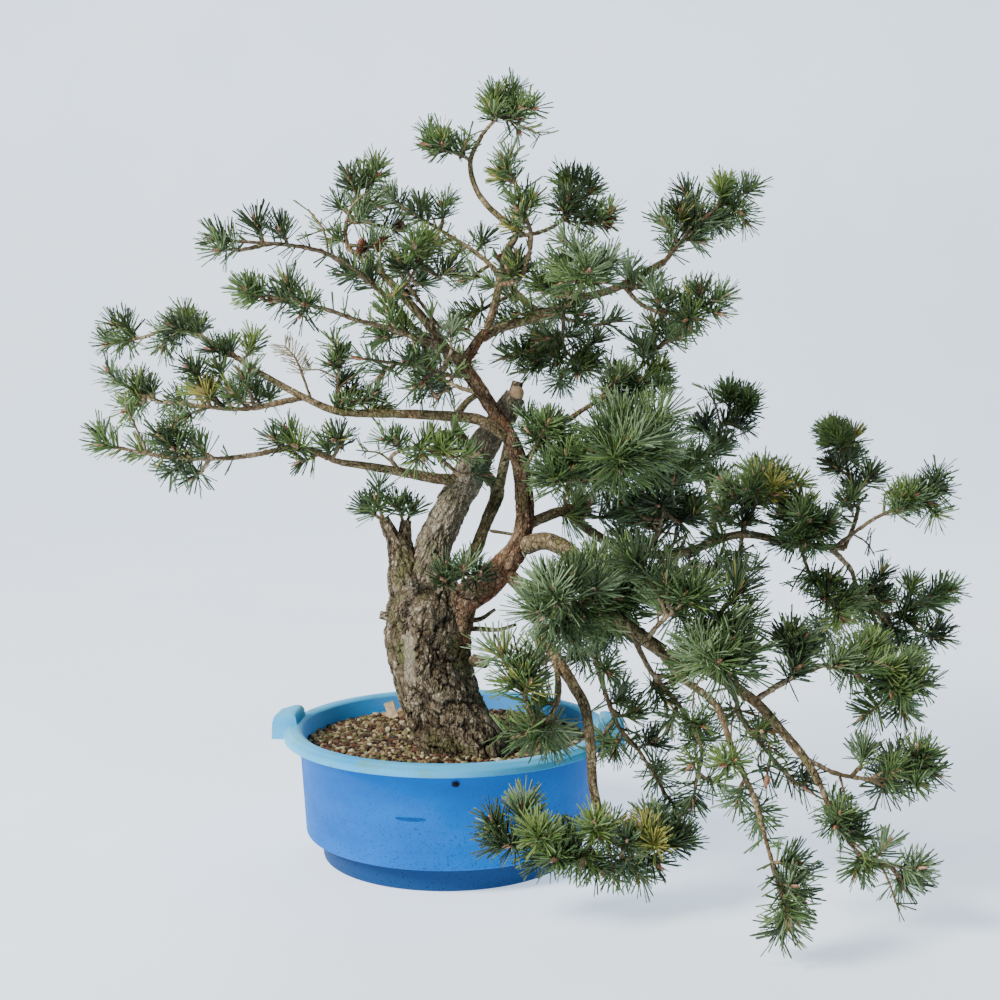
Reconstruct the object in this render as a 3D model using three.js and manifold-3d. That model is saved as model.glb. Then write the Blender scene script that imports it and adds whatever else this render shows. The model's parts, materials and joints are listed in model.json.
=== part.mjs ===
// A scots pine grown as a bonsai in a round plastic tub of gravel soil.
// Millimetres, +Z up. The origin is the centre of the tub's flat underside, and the
// tree's front faces -Y.

import * as THREE from 'three';
import { mergeVertices } from 'three/addons/utils/BufferGeometryUtils.js';
import Module from 'manifold-3d';

const wasm = await Module();
wasm.setup();

const UP = new THREE.Vector3(0, 0, 1);
const GOLDEN_ANGLE = Math.PI * (3 - Math.sqrt(5));

// Clearances between neighbouring pieces
const SEAT_GAP = 0.3;
const NEEDLE_GAP = 0.9;

// Tub: a straight body on a narrower foot ring, with a rolled lip and two lug handles
const TUB_SEGMENTS = 32;
const TUB_WALL = 3;
const FOOT_RADIUS = 140;
const FOOT_HEIGHT = 28;
const BODY_BOTTOM_RADIUS = 159;
const BODY_TOP_RADIUS = 166;
const LIP_RADIUS = 183;
const LIP_TOP = 145;
const LIP_SKIRT = 12;
const LUG_WIDTH = 46;
const LUG_REACH = 15;
const LUG_RISE = 14;
const LUG_TURN = THREE.MathUtils.degToRad(-5);
const WATER_HOLE_RADIUS = 4;
const WATER_HOLE_HEIGHT = 122;
const WATER_HOLE_TURN = THREE.MathUtils.degToRad(-85.5);

// Gravel soil, a little higher round the trunk than at the wall
const SOIL_TOP = 127;
const SOIL_EDGE_DROP = 4;
const SOIL_PLATEAU_RADIUS = 92;

// Places in the crown are sighted from an eye point in front of the tree: each is the
// distance across and up where the sight line meets the upright plane through the tub's
// axis, and then the depth behind that plane.
const EYE = { across: 58, height: 563, distance: 1700 };

// Limbs, each from a knot of an earlier limb's route. The radii run from root to tip.
const LIMBS = [
  {
    name: 'trunk',
    radii: [44, 40, 42, 43, 46, 44, 31, 20, 18, 17, 16, 15, 12],
    route: [
      [27, 90, -46], [22, 120, -45], [2, 150, -42], [-17, 200, -38], [-23, 240, -34],
      [-21, 278, -30], [-20, 310, -26], [-17, 340, -22], [0, 380, -15], [20, 418, -8],
      [35, 450, -2], [52, 475, 3], [75, 512, 6],
    ],
  },
  {
    name: 'red_limb',
    from: ['trunk', 4.7],
    radii: [22, 19, 17.5, 14.5, 12, 10.5, 10.5, 9.5, 9, 8, 7.5, 7, 6, 5],
    route: [
      [20, 287, -52], [45, 305, -56], [65, 325, -57], [80, 347, -55], [85, 375, -50],
      [84, 405, -45], [81, 432, -42], [70, 463, -40], [54, 490, -32], [35, 520, -20],
      [20, 545, -12], [30, 565, -8], [42, 582, -5],
    ],
  },
  {
    name: 'mossy_limb',
    from: ['trunk', 6],
    radii: [10, 9, 7.5, 6.5, 8, 6, 5.5, 5, 4, 3.5],
    route: [
      [10, 316, -14], [30, 340, -8], [42, 370, 0], [55, 405, 16], [40, 428, 30],
      [20, 460, 38], [8, 482, 40], [20, 503, 42], [36, 515, 45],
    ],
  },
  {
    name: 'left_upper_bough',
    from: ['red_limb', 8],
    radii: [6.5, 3.4],
    route: [
      [48, 478, -46], [30, 486, -44], [0, 489, -32], [-60, 492, -15], [-118, 494, 0],
      [-158, 510, 10], [-205, 536, 18],
    ],
  },
  {
    name: 'left_lower_bough',
    from: ['trunk', 9],
    radii: [7, 3.6],
    route: [[-10, 420, -26], [-28, 423, -30], [-70, 431, -40], [-118, 438, -48]],
  },
  {
    name: 'left_high_bough',
    from: ['red_limb', 11],
    radii: [6.5, 3],
    route: [[0, 561, -6], [-21, 590, 8], [-47, 619, 20], [-77, 650, 34], [-108, 672, 48]],
  },
  {
    name: 'leader',
    from: ['red_limb', 13],
    radii: [5, 2.4],
    route: [
      [51, 605, -6], [58, 639, -10], [66, 668, -14], [75, 688, -18], [60, 703, -16],
      [42, 720, -12], [30, 740, -8], [26, 766, -4], [38, 792, 0],
    ],
  },
  {
    name: 'right_high_bough',
    from: ['red_limb', 12.4],
    radii: [5.5, 4],
    route: [
      [60, 586, 14], [102, 598, 18], [140, 616, 24], [167, 623, 28], [192, 632, 32],
      [237, 657, 40],
    ],
  },
  {
    name: 'right_middle_bough',
    from: ['red_limb', 4.7],
    radii: [6, 4],
    route: [
      [105, 376, -38], [130, 383, -20], [155, 364, 0], [185, 345, 14], [216, 336, 24],
      [262, 338, 34], [325, 358, 44], [385, 347, 50], [440, 343, 54],
    ],
  },
  {
    name: 'right_low_bough',
    from: ['red_limb', 3.7],
    radii: [10, 7.5],
    route: [
      [100, 350, -68], [118, 348, -80], [138, 335, -95], [148, 310, -112],
      [165, 283, -128], [195, 258, -142], [240, 226, -158],
    ],
  },
  {
    name: 'right_long_bough',
    from: ['right_low_bough', 7],
    radii: [6.5, 4],
    route: [
      [290, 205, -172], [343, 170, -188], [372, 138, -198], [400, 105, -208],
      [418, 75, -218],
    ],
  },
  {
    name: 'front_bough',
    from: ['red_limb', 2.8],
    radii: [7.5, 4.5],
    route: [
      [75, 306, -68], [92, 286, -84], [106, 245, -118], [125, 212, -145],
      [140, 188, -163], [153, 163, -182], [160, 120, -205], [162, 78, -214],
      [169, 42, -220],
    ],
  },
];

// Short dead stubs and sawn ends on the trunk, each from a knot of the trunk's route
const STUBS = [
  {
    knot: 5,
    radii: [30, 27, 15, 9, 6],
    route: [[-40, 300, -30], [-52, 335, -30], [-61, 356, -30], [-71, 376, -28]],
  },
  {
    knot: 5.5,
    radii: [20, 12, 8.5, 6],
    route: [[-44, 325, -24], [-48, 352, -20], [-46, 374, -18]],
  },
  { knot: 4.3, radii: [5, 3, 2.2, 1.8], route: [[30, 252, -46], [56, 251, -52], [76, 257, -58]] },
  { knot: 5, radii: [5, 3, 1.8], route: [[28, 262, -30], [53, 274, -30]] },
  { knot: 12, radii: [8, 7, 6.5], route: [[76, 519, 6], [78, 527, 6]] },
];

// Masses of needles. Each grows from a knot of a limb along its own stem. Its tufts sit at
// the ends of short twigs that stand off the stem by its spread: along all of the stem past
// its bare part, or gathered at pads, which are shares of the stem's length.
const MASSES = [
  {
    name: 'left_low', from: ['left_lower_bough', 4], tufts: 7, spread: 22, needle: 30,
    pads: [0.1, 0.76],
    stem: [[-165, 454, -54], [-221, 445, -66], [-262, 442, -78], [-320, 446, -94], [-366, 455, -106]],
  },
  {
    name: 'left_outer', from: ['left_upper_bough', 6], tufts: 8, spread: 25, needle: 29,
    pads: [0.3, 0.56, 0.94],
    stem: [[-187, 503, 8], [-224, 497, 20], [-275, 500, 34], [-320, 506, 48], [-350, 520, 58]],
  },
  {
    name: 'left_crown', from: ['left_upper_bough', 7], tufts: 7, spread: 24, needle: 29,
    pads: [0.2, 0.55, 0.62, 0.93],
    stem: [[-232, 554, 46], [-262, 572, 66], [-292, 588, 84], [-330, 576, 98], [-360, 570, 106]],
  },
  {
    name: 'left_knee', from: ['left_upper_bough', 5.1], tufts: 3, spread: 20, needle: 26, bare: 0.2,
    stem: [[-121, 515, 12], [-118, 545, 18]],
  },
  {
    name: 'inner_dark', from: ['left_lower_bough', 2.6], tufts: 3, spread: 16, needle: 27, bare: 0.1,
    stem: [[-62, 444, -54], [-40, 454, -72], [-12, 452, -82]],
  },
  {
    name: 'left_top', from: ['left_high_bough', 5], tufts: 6, spread: 24, needle: 30, bare: 0.05,
    stem: [[-110, 695, 66], [-100, 722, 88], [-93, 742, 110]],
  },
  {
    name: 'back_top', from: ['right_high_bough', 2], tufts: 5, spread: 20, needle: 30,
    pads: [0.6, 0.88],
    stem: [[72, 628, 66], [38, 662, 112], [-5, 690, 156], [-50, 716, 190]],
  },
  {
    name: 'left_brush', from: ['left_high_bough', 1.4], tufts: 5, spread: 16, needle: 32,
    pads: [0.54, 0.92],
    stem: [[-34, 583, -26], [-60, 614, -44], [-107, 652, -70], [-151, 672, -90], [-236, 680, -112]],
  },
  {
    name: 'left_fan', from: ['left_high_bough', 0.8], tufts: 5, spread: 16, needle: 30,
    pads: [0.36, 0.9],
    stem: [[-20, 568, -46], [-60, 584, -80], [-99, 594, -106], [-137, 607, -128], [-204, 622, -148]],
  },
  {
    name: 'left_cross', from: ['red_limb', 10.5], tufts: 4, spread: 22, needle: 28, bare: 0.15,
    stem: [[0, 534, -40], [-25, 543, -50], [-45, 545, -54], [-80, 550, -58]],
  },
  {
    name: 'left_dark', from: ['left_high_bough', 3.2], tufts: 4, spread: 25, needle: 30, bare: 0.15,
    stem: [[-38, 642, 0], [-30, 665, -10]],
  },
  {
    name: 'apex', from: ['leader', 9], tufts: 5, spread: 16, needle: 29, bare: 0.15,
    stem: [[52, 808, 2], [67, 817, 4]],
  },
  {
    name: 'top_left', from: ['leader', 8], tufts: 3, spread: 15, needle: 26, bare: 0.35,
    stem: [[8, 774, -12], [-6, 778, -18]],
  },
  {
    name: 'top_middle', from: ['leader', 1.8], tufts: 5, spread: 18, needle: 26,
    pads: [0.2, 0.66, 0.9],
    stem: [[80, 640, -36], [92, 680, -54], [84, 712, -64], [76, 738, -72], [68, 754, -78]],
  },
  {
    name: 'top_right', from: ['leader', 3.8], tufts: 5, spread: 24, needle: 29,
    pads: [0.6, 0.9],
    stem: [[105, 690, 12], [130, 706, 34], [146, 735, 56]],
  },
  {
    name: 'right_tip', from: ['right_high_bough', 6], tufts: 6, spread: 28, needle: 30, bare: 0.05,
    stem: [[258, 682, 64], [284, 708, 92], [318, 728, 122]],
  },
  {
    name: 'near_high', from: ['right_high_bough', 3], tufts: 4, spread: 20, needle: 33, bare: 0.5,
    stem: [[140, 620, -30], [146, 630, -80], [152, 642, -118]],
  },
  {
    name: 'right_shelf', from: ['right_high_bough', 5], tufts: 5, spread: 20, needle: 29, bare: 0.3,
    stem: [[210, 613, 8], [232, 603, -20], [262, 602, -48], [290, 614, -70]],
  },
  {
    name: 'right_stair', from: ['red_limb', 7], tufts: 7, spread: 25, needle: 29, bare: 0.4,
    stem: [[110, 468, -20], [140, 490, 6], [181, 516, 30], [215, 545, 52], [238, 570, 72]],
  },
  {
    name: 'right_inner', from: ['right_high_bough', 2.6], tufts: 4, spread: 23, needle: 29, bare: 0.2,
    stem: [[127, 590, 46], [128, 565, 66], [142, 548, 84]],
  },
  {
    name: 'near_knot', from: ['red_limb', 6.6], tufts: 3, spread: 15, needle: 30, bare: 0.55,
    stem: [[94, 448, -76], [106, 472, -104]],
  },
  {
    name: 'near_fan', from: ['right_middle_bough', 2.7], tufts: 4, spread: 22, needle: 37, bare: 0.6,
    stem: [[160, 398, -50], [172, 425, -100], [190, 452, -140]],
  },
  {
    name: 'near_round', from: ['right_middle_bough', 2], tufts: 4, spread: 22, needle: 32, bare: 0.35,
    stem: [[130, 405, -64], [136, 424, -104]],
  },
  {
    name: 'right_heart', from: ['right_middle_bough', 5], tufts: 5, spread: 25, needle: 32, bare: 0.1,
    stem: [[232, 358, 4], [240, 388, -30], [246, 408, -56]],
  },
  {
    name: 'right_fringe', from: ['right_middle_bough', 5.4], tufts: 4, spread: 18, needle: 27,
    bare: 0.1,
    stem: [[248, 322, 48], [288, 312, 58], [330, 318, 66]],
  },
  {
    name: 'right_rise', from: ['right_middle_bough', 6.6], tufts: 5, spread: 22, needle: 29,
    bare: 0.3,
    stem: [[290, 395, 90], [286, 435, 128], [300, 475, 162], [320, 502, 186]],
  },
  {
    name: 'right_dense', from: ['right_middle_bough', 7], tufts: 5, spread: 27, needle: 29, bare: 0.1,
    stem: [[338, 384, 26], [344, 410, 16]],
  },
  {
    name: 'right_front', from: ['right_middle_bough', 8], tufts: 5, spread: 25, needle: 30,
    bare: 0.15,
    stem: [[392, 362, 18], [398, 370, -12]],
  },
  {
    name: 'right_peak', from: ['right_middle_bough', 9], tufts: 5, spread: 24, needle: 29, bare: 0.35,
    stem: [[450, 368, 74], [454, 395, 98], [442, 430, 124], [431, 460, 146]],
  },
  {
    name: 'right_wing', from: ['right_middle_bough', 8.8], tufts: 4, spread: 18, needle: 30,
    bare: 0.45,
    stem: [[470, 374, 28], [495, 386, 20], [525, 402, 14]],
  },
  {
    name: 'right_drip', from: ['right_middle_bough', 8.1], tufts: 3, spread: 17, needle: 29,
    bare: 0.6,
    stem: [[402, 315, 34], [418, 292, 20], [430, 276, 8]],
  },
  {
    name: 'right_skirt', from: ['right_middle_bough', 8.7], tufts: 6, spread: 26, needle: 30,
    bare: 0.4,
    stem: [[448, 318, 82], [458, 290, 102], [490, 268, 116], [538, 290, 126]],
  },
  {
    name: 'right_arm', from: ['right_long_bough', 2], tufts: 7, spread: 26, needle: 30,
    pads: [0.25, 0.72, 0.86],
    stem: [[378, 193, -184], [412, 208, -182], [455, 217, -180], [496, 206, -178], [506, 172, -176]],
  },
  {
    name: 'near_low', from: ['right_long_bough', 1], tufts: 3, spread: 18, needle: 32, bare: 0.4,
    stem: [[292, 208, -208], [298, 212, -228]],
  },
  {
    name: 'right_belly', from: ['right_low_bough', 6.6], tufts: 5, spread: 27, needle: 32,
    bare: 0.3,
    stem: [[240, 262, -190], [270, 278, -196], [318, 262, -180]],
  },
  {
    name: 'near_centre', from: ['right_low_bough', 4.4], tufts: 5, spread: 22, needle: 33,
    bare: 0.15,
    stem: [[172, 292, -128], [152, 290, -170], [130, 282, -204]],
  },
  {
    name: 'stilt', from: ['right_low_bough', 5.2], tufts: 6, spread: 24, needle: 30, bare: 0.1,
    stem: [[163, 240, -100], [168, 205, -92], [190, 143, -96], [215, 112, -108], [248, 58, -125]],
  },
  {
    name: 'hook', from: ['right_low_bough', 6.2], tufts: 5, spread: 26, needle: 29, bare: 0.35,
    stem: [[226, 205, -146], [262, 160, -150], [284, 115, -152], [278, 70, -152]],
  },
  {
    name: 'right_fall', from: ['right_long_bough', 1.5], tufts: 4, spread: 21, needle: 29,
    bare: 0.1,
    stem: [[330, 148, -170], [350, 122, -164], [375, 92, -160]],
  },
  {
    name: 'tail', from: ['right_low_bough', 6.85], tufts: 6, spread: 24, needle: 32,
    pads: [0.6, 0.96],
    stem: [
      [262, 196, -180], [300, 165, -200], [320, 112, -230], [343, 62, -266],
      [358, 12, -304], [380, -64, -338],
    ],
  },
  {
    name: 'low_arm', from: ['right_long_bough', 4], tufts: 5, spread: 26, needle: 30, bare: 0.35,
    stem: [[440, 86, -206], [490, 80, -203], [520, 90, -200]],
  },
  {
    name: 'low_tip', from: ['right_long_bough', 5], tufts: 6, spread: 23, needle: 30, bare: 0.05,
    stem: [[438, 30, -236], [468, -8, -252], [514, -22, -262]],
  },
  {
    name: 'curl', from: ['front_bough', 3.5], tufts: 5, spread: 20, needle: 30,
    pads: [0.4, 0.85],
    stem: [[124, 190, -168], [118, 158, -196], [98, 150, -210], [84, 178, -214], [68, 210, -216]],
  },
  {
    name: 'foot_fan', from: ['front_bough', 9], tufts: 5, spread: 24, needle: 33, bare: 0.1,
    stem: [[156, 0, -234], [120, -2, -240], [66, 14, -238]],
  },
  {
    name: 'foot_brush', from: ['front_bough', 8.6], tufts: 5, spread: 20, needle: 30, bare: 0.2,
    stem: [[182, 14, -212], [208, -2, -206], [244, 4, -198]],
  },
  {
    name: 'back_moss', from: ['mossy_limb', 9], tufts: 5, spread: 27, needle: 32, bare: 0.3,
    stem: [[15, 520, 96], [-8, 532, 150], [-24, 548, 190]],
  },
];

// Faces round each kind of limb, and the length of its straight pieces
const TRUNK_SIDES = 12;
const TRUNK_STRIDE = 24;
const THICK_LIMB_RADIUS = 9;
const THICK_LIMB_SIDES = 8;
const THIN_LIMB_SIDES = 5;
const LIMB_STRIDE = 32;
const STUB_STRIDE = 32;
const STEM_SIDES = 3;
const STEM_STRIDE = 44;

// Stems, twigs and tufts, from the shoots' thickness
const STEM_TIP_RADIUS = 1.7;
const STEM_TAPER_PER_MM = 0.0085;
const TWIG_SIDES = 3;
const TWIG_RADIUS = 1.4;
const TIP_TWIG_LENGTH = 16;
const CORE_LENGTH = 13;
const CORE_RADIUS = 5;
const NEEDLE_ROOM = 3;
const TUFT_CROWDING = 0.7;
const PAD_STEP = 0.06;
const GROUND_CLEARANCE = 4;

// The trunk's foot spreads in uneven lobes where it meets the soil
const FLARE = 0.14;
const FLARE_HEIGHT = 22;

const TUB_BLUE = 0x3f7fc4;
const SOIL_BROWN = 0x8a6f52;
const BARK_GREY = 0x6f5d4a;
const BARK_RED = 0x8a5a40;
const BARK_MOSS = 0x5c5a38;
const BARK_PALE = 0x85725a;
const NEEDLE_DARK = 0x35593d;
const NEEDLE_LIGHT = 0x5d7f47;

// A repeatable run of numbers from 0 to 1
function seeded(seed) {
  let state = seed;
  return () => {
    state = (Math.imul(state, 1664525) + 1013904223) >>> 0;
    return state / 4294967296;
  };
}

// A place in the crown, from where it is seen
function sighted([across, up, depth]) {
  const scale = 1 + depth / EYE.distance;
  return new THREE.Vector3(
    EYE.across + (across - EYE.across) * scale,
    depth,
    EYE.height + (up - EYE.height) * scale,
  );
}

function smoothCurve(points) {
  return new THREE.CatmullRomCurve3(points, false, 'catmullrom', 0.5);
}

// The radii at all knots, where only the root's and the tip's are given
function radiiAtKnots(points, radii) {
  if (radii.length === points.length) return radii;
  const run = [0];
  for (let i = 1; i < points.length; i += 1) {
    run.push(run[i - 1] + points[i].distanceTo(points[i - 1]));
  }
  const length = run[run.length - 1];
  return run.map((along) => radii[0] + (radii[1] - radii[0]) * (along / length));
}

// A limb's centre line with a radius at each step
function centreLine(points, radii, stride) {
  const curve = smoothCurve(points);
  const knotRadii = radiiAtKnots(points, radii);
  const spans = points.length - 1;
  const line = [];
  for (let span = 0; span < spans; span += 1) {
    const steps = Math.max(1, Math.round(points[span].distanceTo(points[span + 1]) / stride));
    for (let step = 0; step < steps; step += 1) {
      const share = step / steps;
      line.push({
        point: curve.getPoint((span + share) / spans),
        radius: THREE.MathUtils.lerp(knotRadii[span], knotRadii[span + 1], share),
      });
    }
  }
  line.push({ point: curve.getPoint(1), radius: knotRadii[spans] });
  return line;
}

function perpendicularTo(direction) {
  const guide = Math.abs(direction.z) > 0.95 ? new THREE.Vector3(1, 0, 0) : UP;
  return new THREE.Vector3().crossVectors(direction, guide).normalize();
}

function ringAround(centre, across, over, radius, sides, shape) {
  const ring = [];
  for (let side = 0; side < sides; side += 1) {
    const angle = (side / sides) * 2 * Math.PI;
    const reach = radius * shape(angle);
    ring.push(centre.clone()
      .addScaledVector(across, Math.cos(angle) * reach)
      .addScaledVector(over, Math.sin(angle) * reach));
  }
  return ring;
}

// Rings along a centre line that turn with it and don't twist
function ringsAlong(line, sides, shape = () => 1) {
  let across = null;
  return line.map(({ point, radius }, index) => {
    const before = line[Math.max(index - 1, 0)].point;
    const after = line[Math.min(index + 1, line.length - 1)].point;
    const ahead = after.clone().sub(before).normalize();
    across = across === null
      ? perpendicularTo(ahead)
      : across.clone().addScaledVector(ahead, -across.dot(ahead)).normalize();
    const over = new THREE.Vector3().crossVectors(ahead, across);
    return ringAround(point, across, over, radius, sides, (angle) => shape(angle, index));
  });
}

// A closed skin over rings, flat at both ends
function skinOver(rings) {
  const sides = rings[0].length;
  const points = rings.flat();
  const faces = [];
  for (let ring = 0; ring + 1 < rings.length; ring += 1) {
    for (let side = 0; side < sides; side += 1) {
      const next = (side + 1) % sides;
      const a = ring * sides + side;
      const b = ring * sides + next;
      const c = a + sides;
      const d = b + sides;
      faces.push([a, b, d], [a, d, c]);
    }
  }
  const last = (rings.length - 1) * sides;
  for (let side = 1; side + 1 < sides; side += 1) {
    faces.push([0, side + 1, side], [last, last + side, last + side + 1]);
  }
  return { points, faces };
}

function signedVolume({ points, faces }) {
  const cross = new THREE.Vector3();
  return faces.reduce((sum, [a, b, c]) => (
    sum + cross.crossVectors(points[b], points[c]).dot(points[a]) / 6), 0);
}

function solidOf(skin) {
  const flipped = signedVolume(skin) < 0;
  const faces = skin.faces.map(([a, b, c]) => (flipped ? [a, c, b] : [a, b, c]));
  return new wasm.Manifold(new wasm.Mesh({
    numProp: 3,
    vertProperties: new Float32Array(skin.points.flatMap((point) => point.toArray())),
    triVerts: new Uint32Array(faces.flat()),
  }));
}

// The solid of a closed three.js geometry, without the empty faces on a lathe's axis
function solidOfGeometry(geometry) {
  geometry.deleteAttribute('normal');
  geometry.deleteAttribute('uv');
  const merged = mergeVertices(geometry, 1e-3);
  const place = merged.getAttribute('position');
  const points = [];
  for (let i = 0; i < place.count; i += 1) {
    points.push(new THREE.Vector3().fromBufferAttribute(place, i));
  }
  const faces = [];
  for (let i = 0; i < merged.index.count; i += 3) {
    const face = [0, 1, 2].map((corner) => merged.index.getX(i + corner));
    if (new Set(face).size === 3) faces.push(face);
  }
  return solidOf({ points, faces });
}

// The one body that counts, without loose scraps
function largestBody(solid) {
  const bodies = solid.decompose();
  return bodies.reduce((best, body) => (body.volume() > best.volume() ? body : best));
}

function meshOf(name, solid, colour, roughness) {
  const { vertProperties, triVerts } = solid.getMesh();
  const geometry = new THREE.BufferGeometry();
  geometry.setAttribute('position', new THREE.BufferAttribute(new Float32Array(vertProperties), 3));
  geometry.setIndex(new THREE.BufferAttribute(new Uint32Array(triVerts), 1));
  geometry.computeVertexNormals();
  const material = new THREE.MeshStandardMaterial({ color: colour, roughness, metalness: 0 });
  const mesh = new THREE.Mesh(geometry, material);
  mesh.name = name;
  return mesh;
}

// Lathes turn about Y, and everything here stands along Z
function latheUpright(profile) {
  const outline = profile.map(([radius, height]) => new THREE.Vector2(radius, height));
  return new THREE.LatheGeometry(outline, TUB_SEGMENTS).rotateX(Math.PI / 2);
}

// A flat outline of radius and height, pulled to a width across the tub's axis
function acrossTub(outline, width, start) {
  const shape = new THREE.Shape(outline.map(([radius, height]) => new THREE.Vector2(radius, height)));
  const geometry = new THREE.ExtrudeGeometry(shape, { depth: width, bevelEnabled: false });
  return solidOfGeometry(geometry.translate(0, 0, start).rotateX(Math.PI / 2));
}

// One lug handle: a hood bent up and out from the lip, open below between its two ends
function lugSolid() {
  const inner = BODY_TOP_RADIUS;
  const outer = LIP_RADIUS + LUG_REACH;
  const top = LIP_TOP + LUG_RISE;
  const bottom = LIP_TOP - LIP_SKIRT - 5;
  const shoulder = top - 9;
  const block = [
    [inner, LIP_TOP - 5], [inner + 3, top - 1], [inner + 11, top], [outer - 5, shoulder],
    [outer, bottom],
  ];
  const inside = [
    [LIP_RADIUS - 1, bottom - 1], [LIP_RADIUS - 1, shoulder - TUB_WALL],
    [outer - 5 - TUB_WALL, shoulder - TUB_WALL - 1], [outer - TUB_WALL, bottom - 1],
  ];
  const room = LUG_WIDTH - 2 * TUB_WALL;
  return acrossTub(block, LUG_WIDTH, -LUG_WIDTH / 2).subtract(acrossTub(inside, room, -room / 2));
}

function tubSolid() {
  const wall = TUB_WALL;
  const skirt = LIP_TOP - LIP_SKIRT;
  const shell = solidOfGeometry(latheUpright([
    [0, 0], [FOOT_RADIUS, 0], [FOOT_RADIUS + 3, FOOT_HEIGHT],
    [BODY_BOTTOM_RADIUS, FOOT_HEIGHT + 1], [BODY_TOP_RADIUS, LIP_TOP - 7],
    [LIP_RADIUS - wall, LIP_TOP - 7], [LIP_RADIUS - wall, skirt], [LIP_RADIUS, skirt],
    [LIP_RADIUS, LIP_TOP - 4], [LIP_RADIUS - 5, LIP_TOP - 1], [BODY_TOP_RADIUS + 3, LIP_TOP],
    [BODY_TOP_RADIUS - wall, LIP_TOP - 2], [BODY_BOTTOM_RADIUS - wall, FOOT_HEIGHT + wall],
    [FOOT_RADIUS - 1, FOOT_HEIGHT + wall], [FOOT_RADIUS - wall, wall + 1], [0, wall + 1],
  ]));
  const turned = (solid, turn) => solid.rotate([0, 0, THREE.MathUtils.radToDeg(turn)]);
  const drill = new THREE.CylinderGeometry(WATER_HOLE_RADIUS, WATER_HOLE_RADIUS, 20, 10);
  const hole = solidOfGeometry(drill.rotateZ(Math.PI / 2)
    .translate(BODY_TOP_RADIUS, 0, WATER_HOLE_HEIGHT));
  return shell
    .add(turned(lugSolid(), LUG_TURN))
    .add(turned(lugSolid(), LUG_TURN + Math.PI))
    .subtract(turned(hole, WATER_HOLE_TURN));
}

function soilSolid() {
  const gap = TUB_WALL + SEAT_GAP;
  const rim = SOIL_TOP - SOIL_EDGE_DROP;
  const rise = (rim - FOOT_HEIGHT) / (LIP_TOP - 7 - FOOT_HEIGHT);
  const rimRadius = THREE.MathUtils.lerp(BODY_BOTTOM_RADIUS, BODY_TOP_RADIUS, rise) - gap;
  return solidOfGeometry(latheUpright([
    [0, gap + 1.3], [FOOT_RADIUS - gap - 0.6, gap + 1.3], [FOOT_RADIUS - 1.7, FOOT_HEIGHT + gap],
    [BODY_BOTTOM_RADIUS - gap - 0.3, FOOT_HEIGHT + gap + 0.6], [rimRadius - 0.6, rim],
    [SOIL_PLATEAU_RADIUS, SOIL_TOP], [0, SOIL_TOP],
  ]));
}

// Everything that is already in its place, as tapering straight pieces with an owner
const taken = [];

function take(owner, line) {
  for (let i = 0; i + 1 < line.length; i += 1) {
    taken.push({
      owner,
      start: line[i].point,
      end: line[i + 1].point,
      startRadius: line[i].radius,
      endRadius: line[i + 1].radius,
    });
  }
}

// The shares along two straight pieces at which they come closest
function closestShares(a, b) {
  const u = a.end.clone().sub(a.start);
  const v = b.end.clone().sub(b.start);
  const w = a.start.clone().sub(b.start);
  const uu = u.dot(u);
  const vv = v.dot(v);
  const uv = u.dot(v);
  const slope = uu * vv - uv * uv;
  const clamp = (share) => THREE.MathUtils.clamp(share, 0, 1);
  const first = slope > 1e-9 ? clamp((uv * v.dot(w) - vv * u.dot(w)) / slope) : 0;
  const second = clamp((uv * first + v.dot(w)) / vv);
  return [clamp((uv * second - u.dot(w)) / uu), second];
}

// A piece may touch its own mass's stem and its own tuft, and nothing else
function isClear(piece) {
  return taken.every((other) => {
    const isKin = other.owner === piece.owner;
    if (isKin && (other.tuft === undefined || other.tuft === piece.tuft)) return true;
    const clearance = isKin ? 0 : NEEDLE_GAP;
    const reach = piece.start.distanceTo(piece.end) + other.start.distanceTo(other.end)
      + piece.startRadius + other.startRadius + clearance;
    if (piece.start.distanceTo(other.start) > reach) return true;
    const [share, otherShare] = closestShares(piece, other);
    const gap = piece.start.clone().lerp(piece.end, share)
      .distanceTo(other.start.clone().lerp(other.end, otherShare));
    const radius = THREE.MathUtils.lerp(piece.startRadius, piece.endRadius, share);
    const otherRadius = THREE.MathUtils.lerp(other.startRadius, other.endRadius, otherShare);
    return gap > radius + otherRadius + clearance;
  });
}

// Above the ground, and either outside the tub or well over its lugs
function isOverOrOutsideTub(point) {
  if (point.z < GROUND_CLEARANCE) return false;
  const fromAxis = Math.hypot(point.x, point.y);
  const nearLug = Math.abs(point.x) > Math.abs(point.y) * 1.6;
  const reach = nearLug ? LIP_RADIUS + LUG_REACH : LIP_RADIUS;
  return fromAxis > reach + 4 || point.z > LIP_TOP + LUG_RISE + 4;
}

function fits(piece) {
  const middle = piece.start.clone().lerp(piece.end, 0.5);
  return [piece.start, middle, piece.end].every(isOverOrOutsideTub) && isClear(piece);
}

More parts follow.
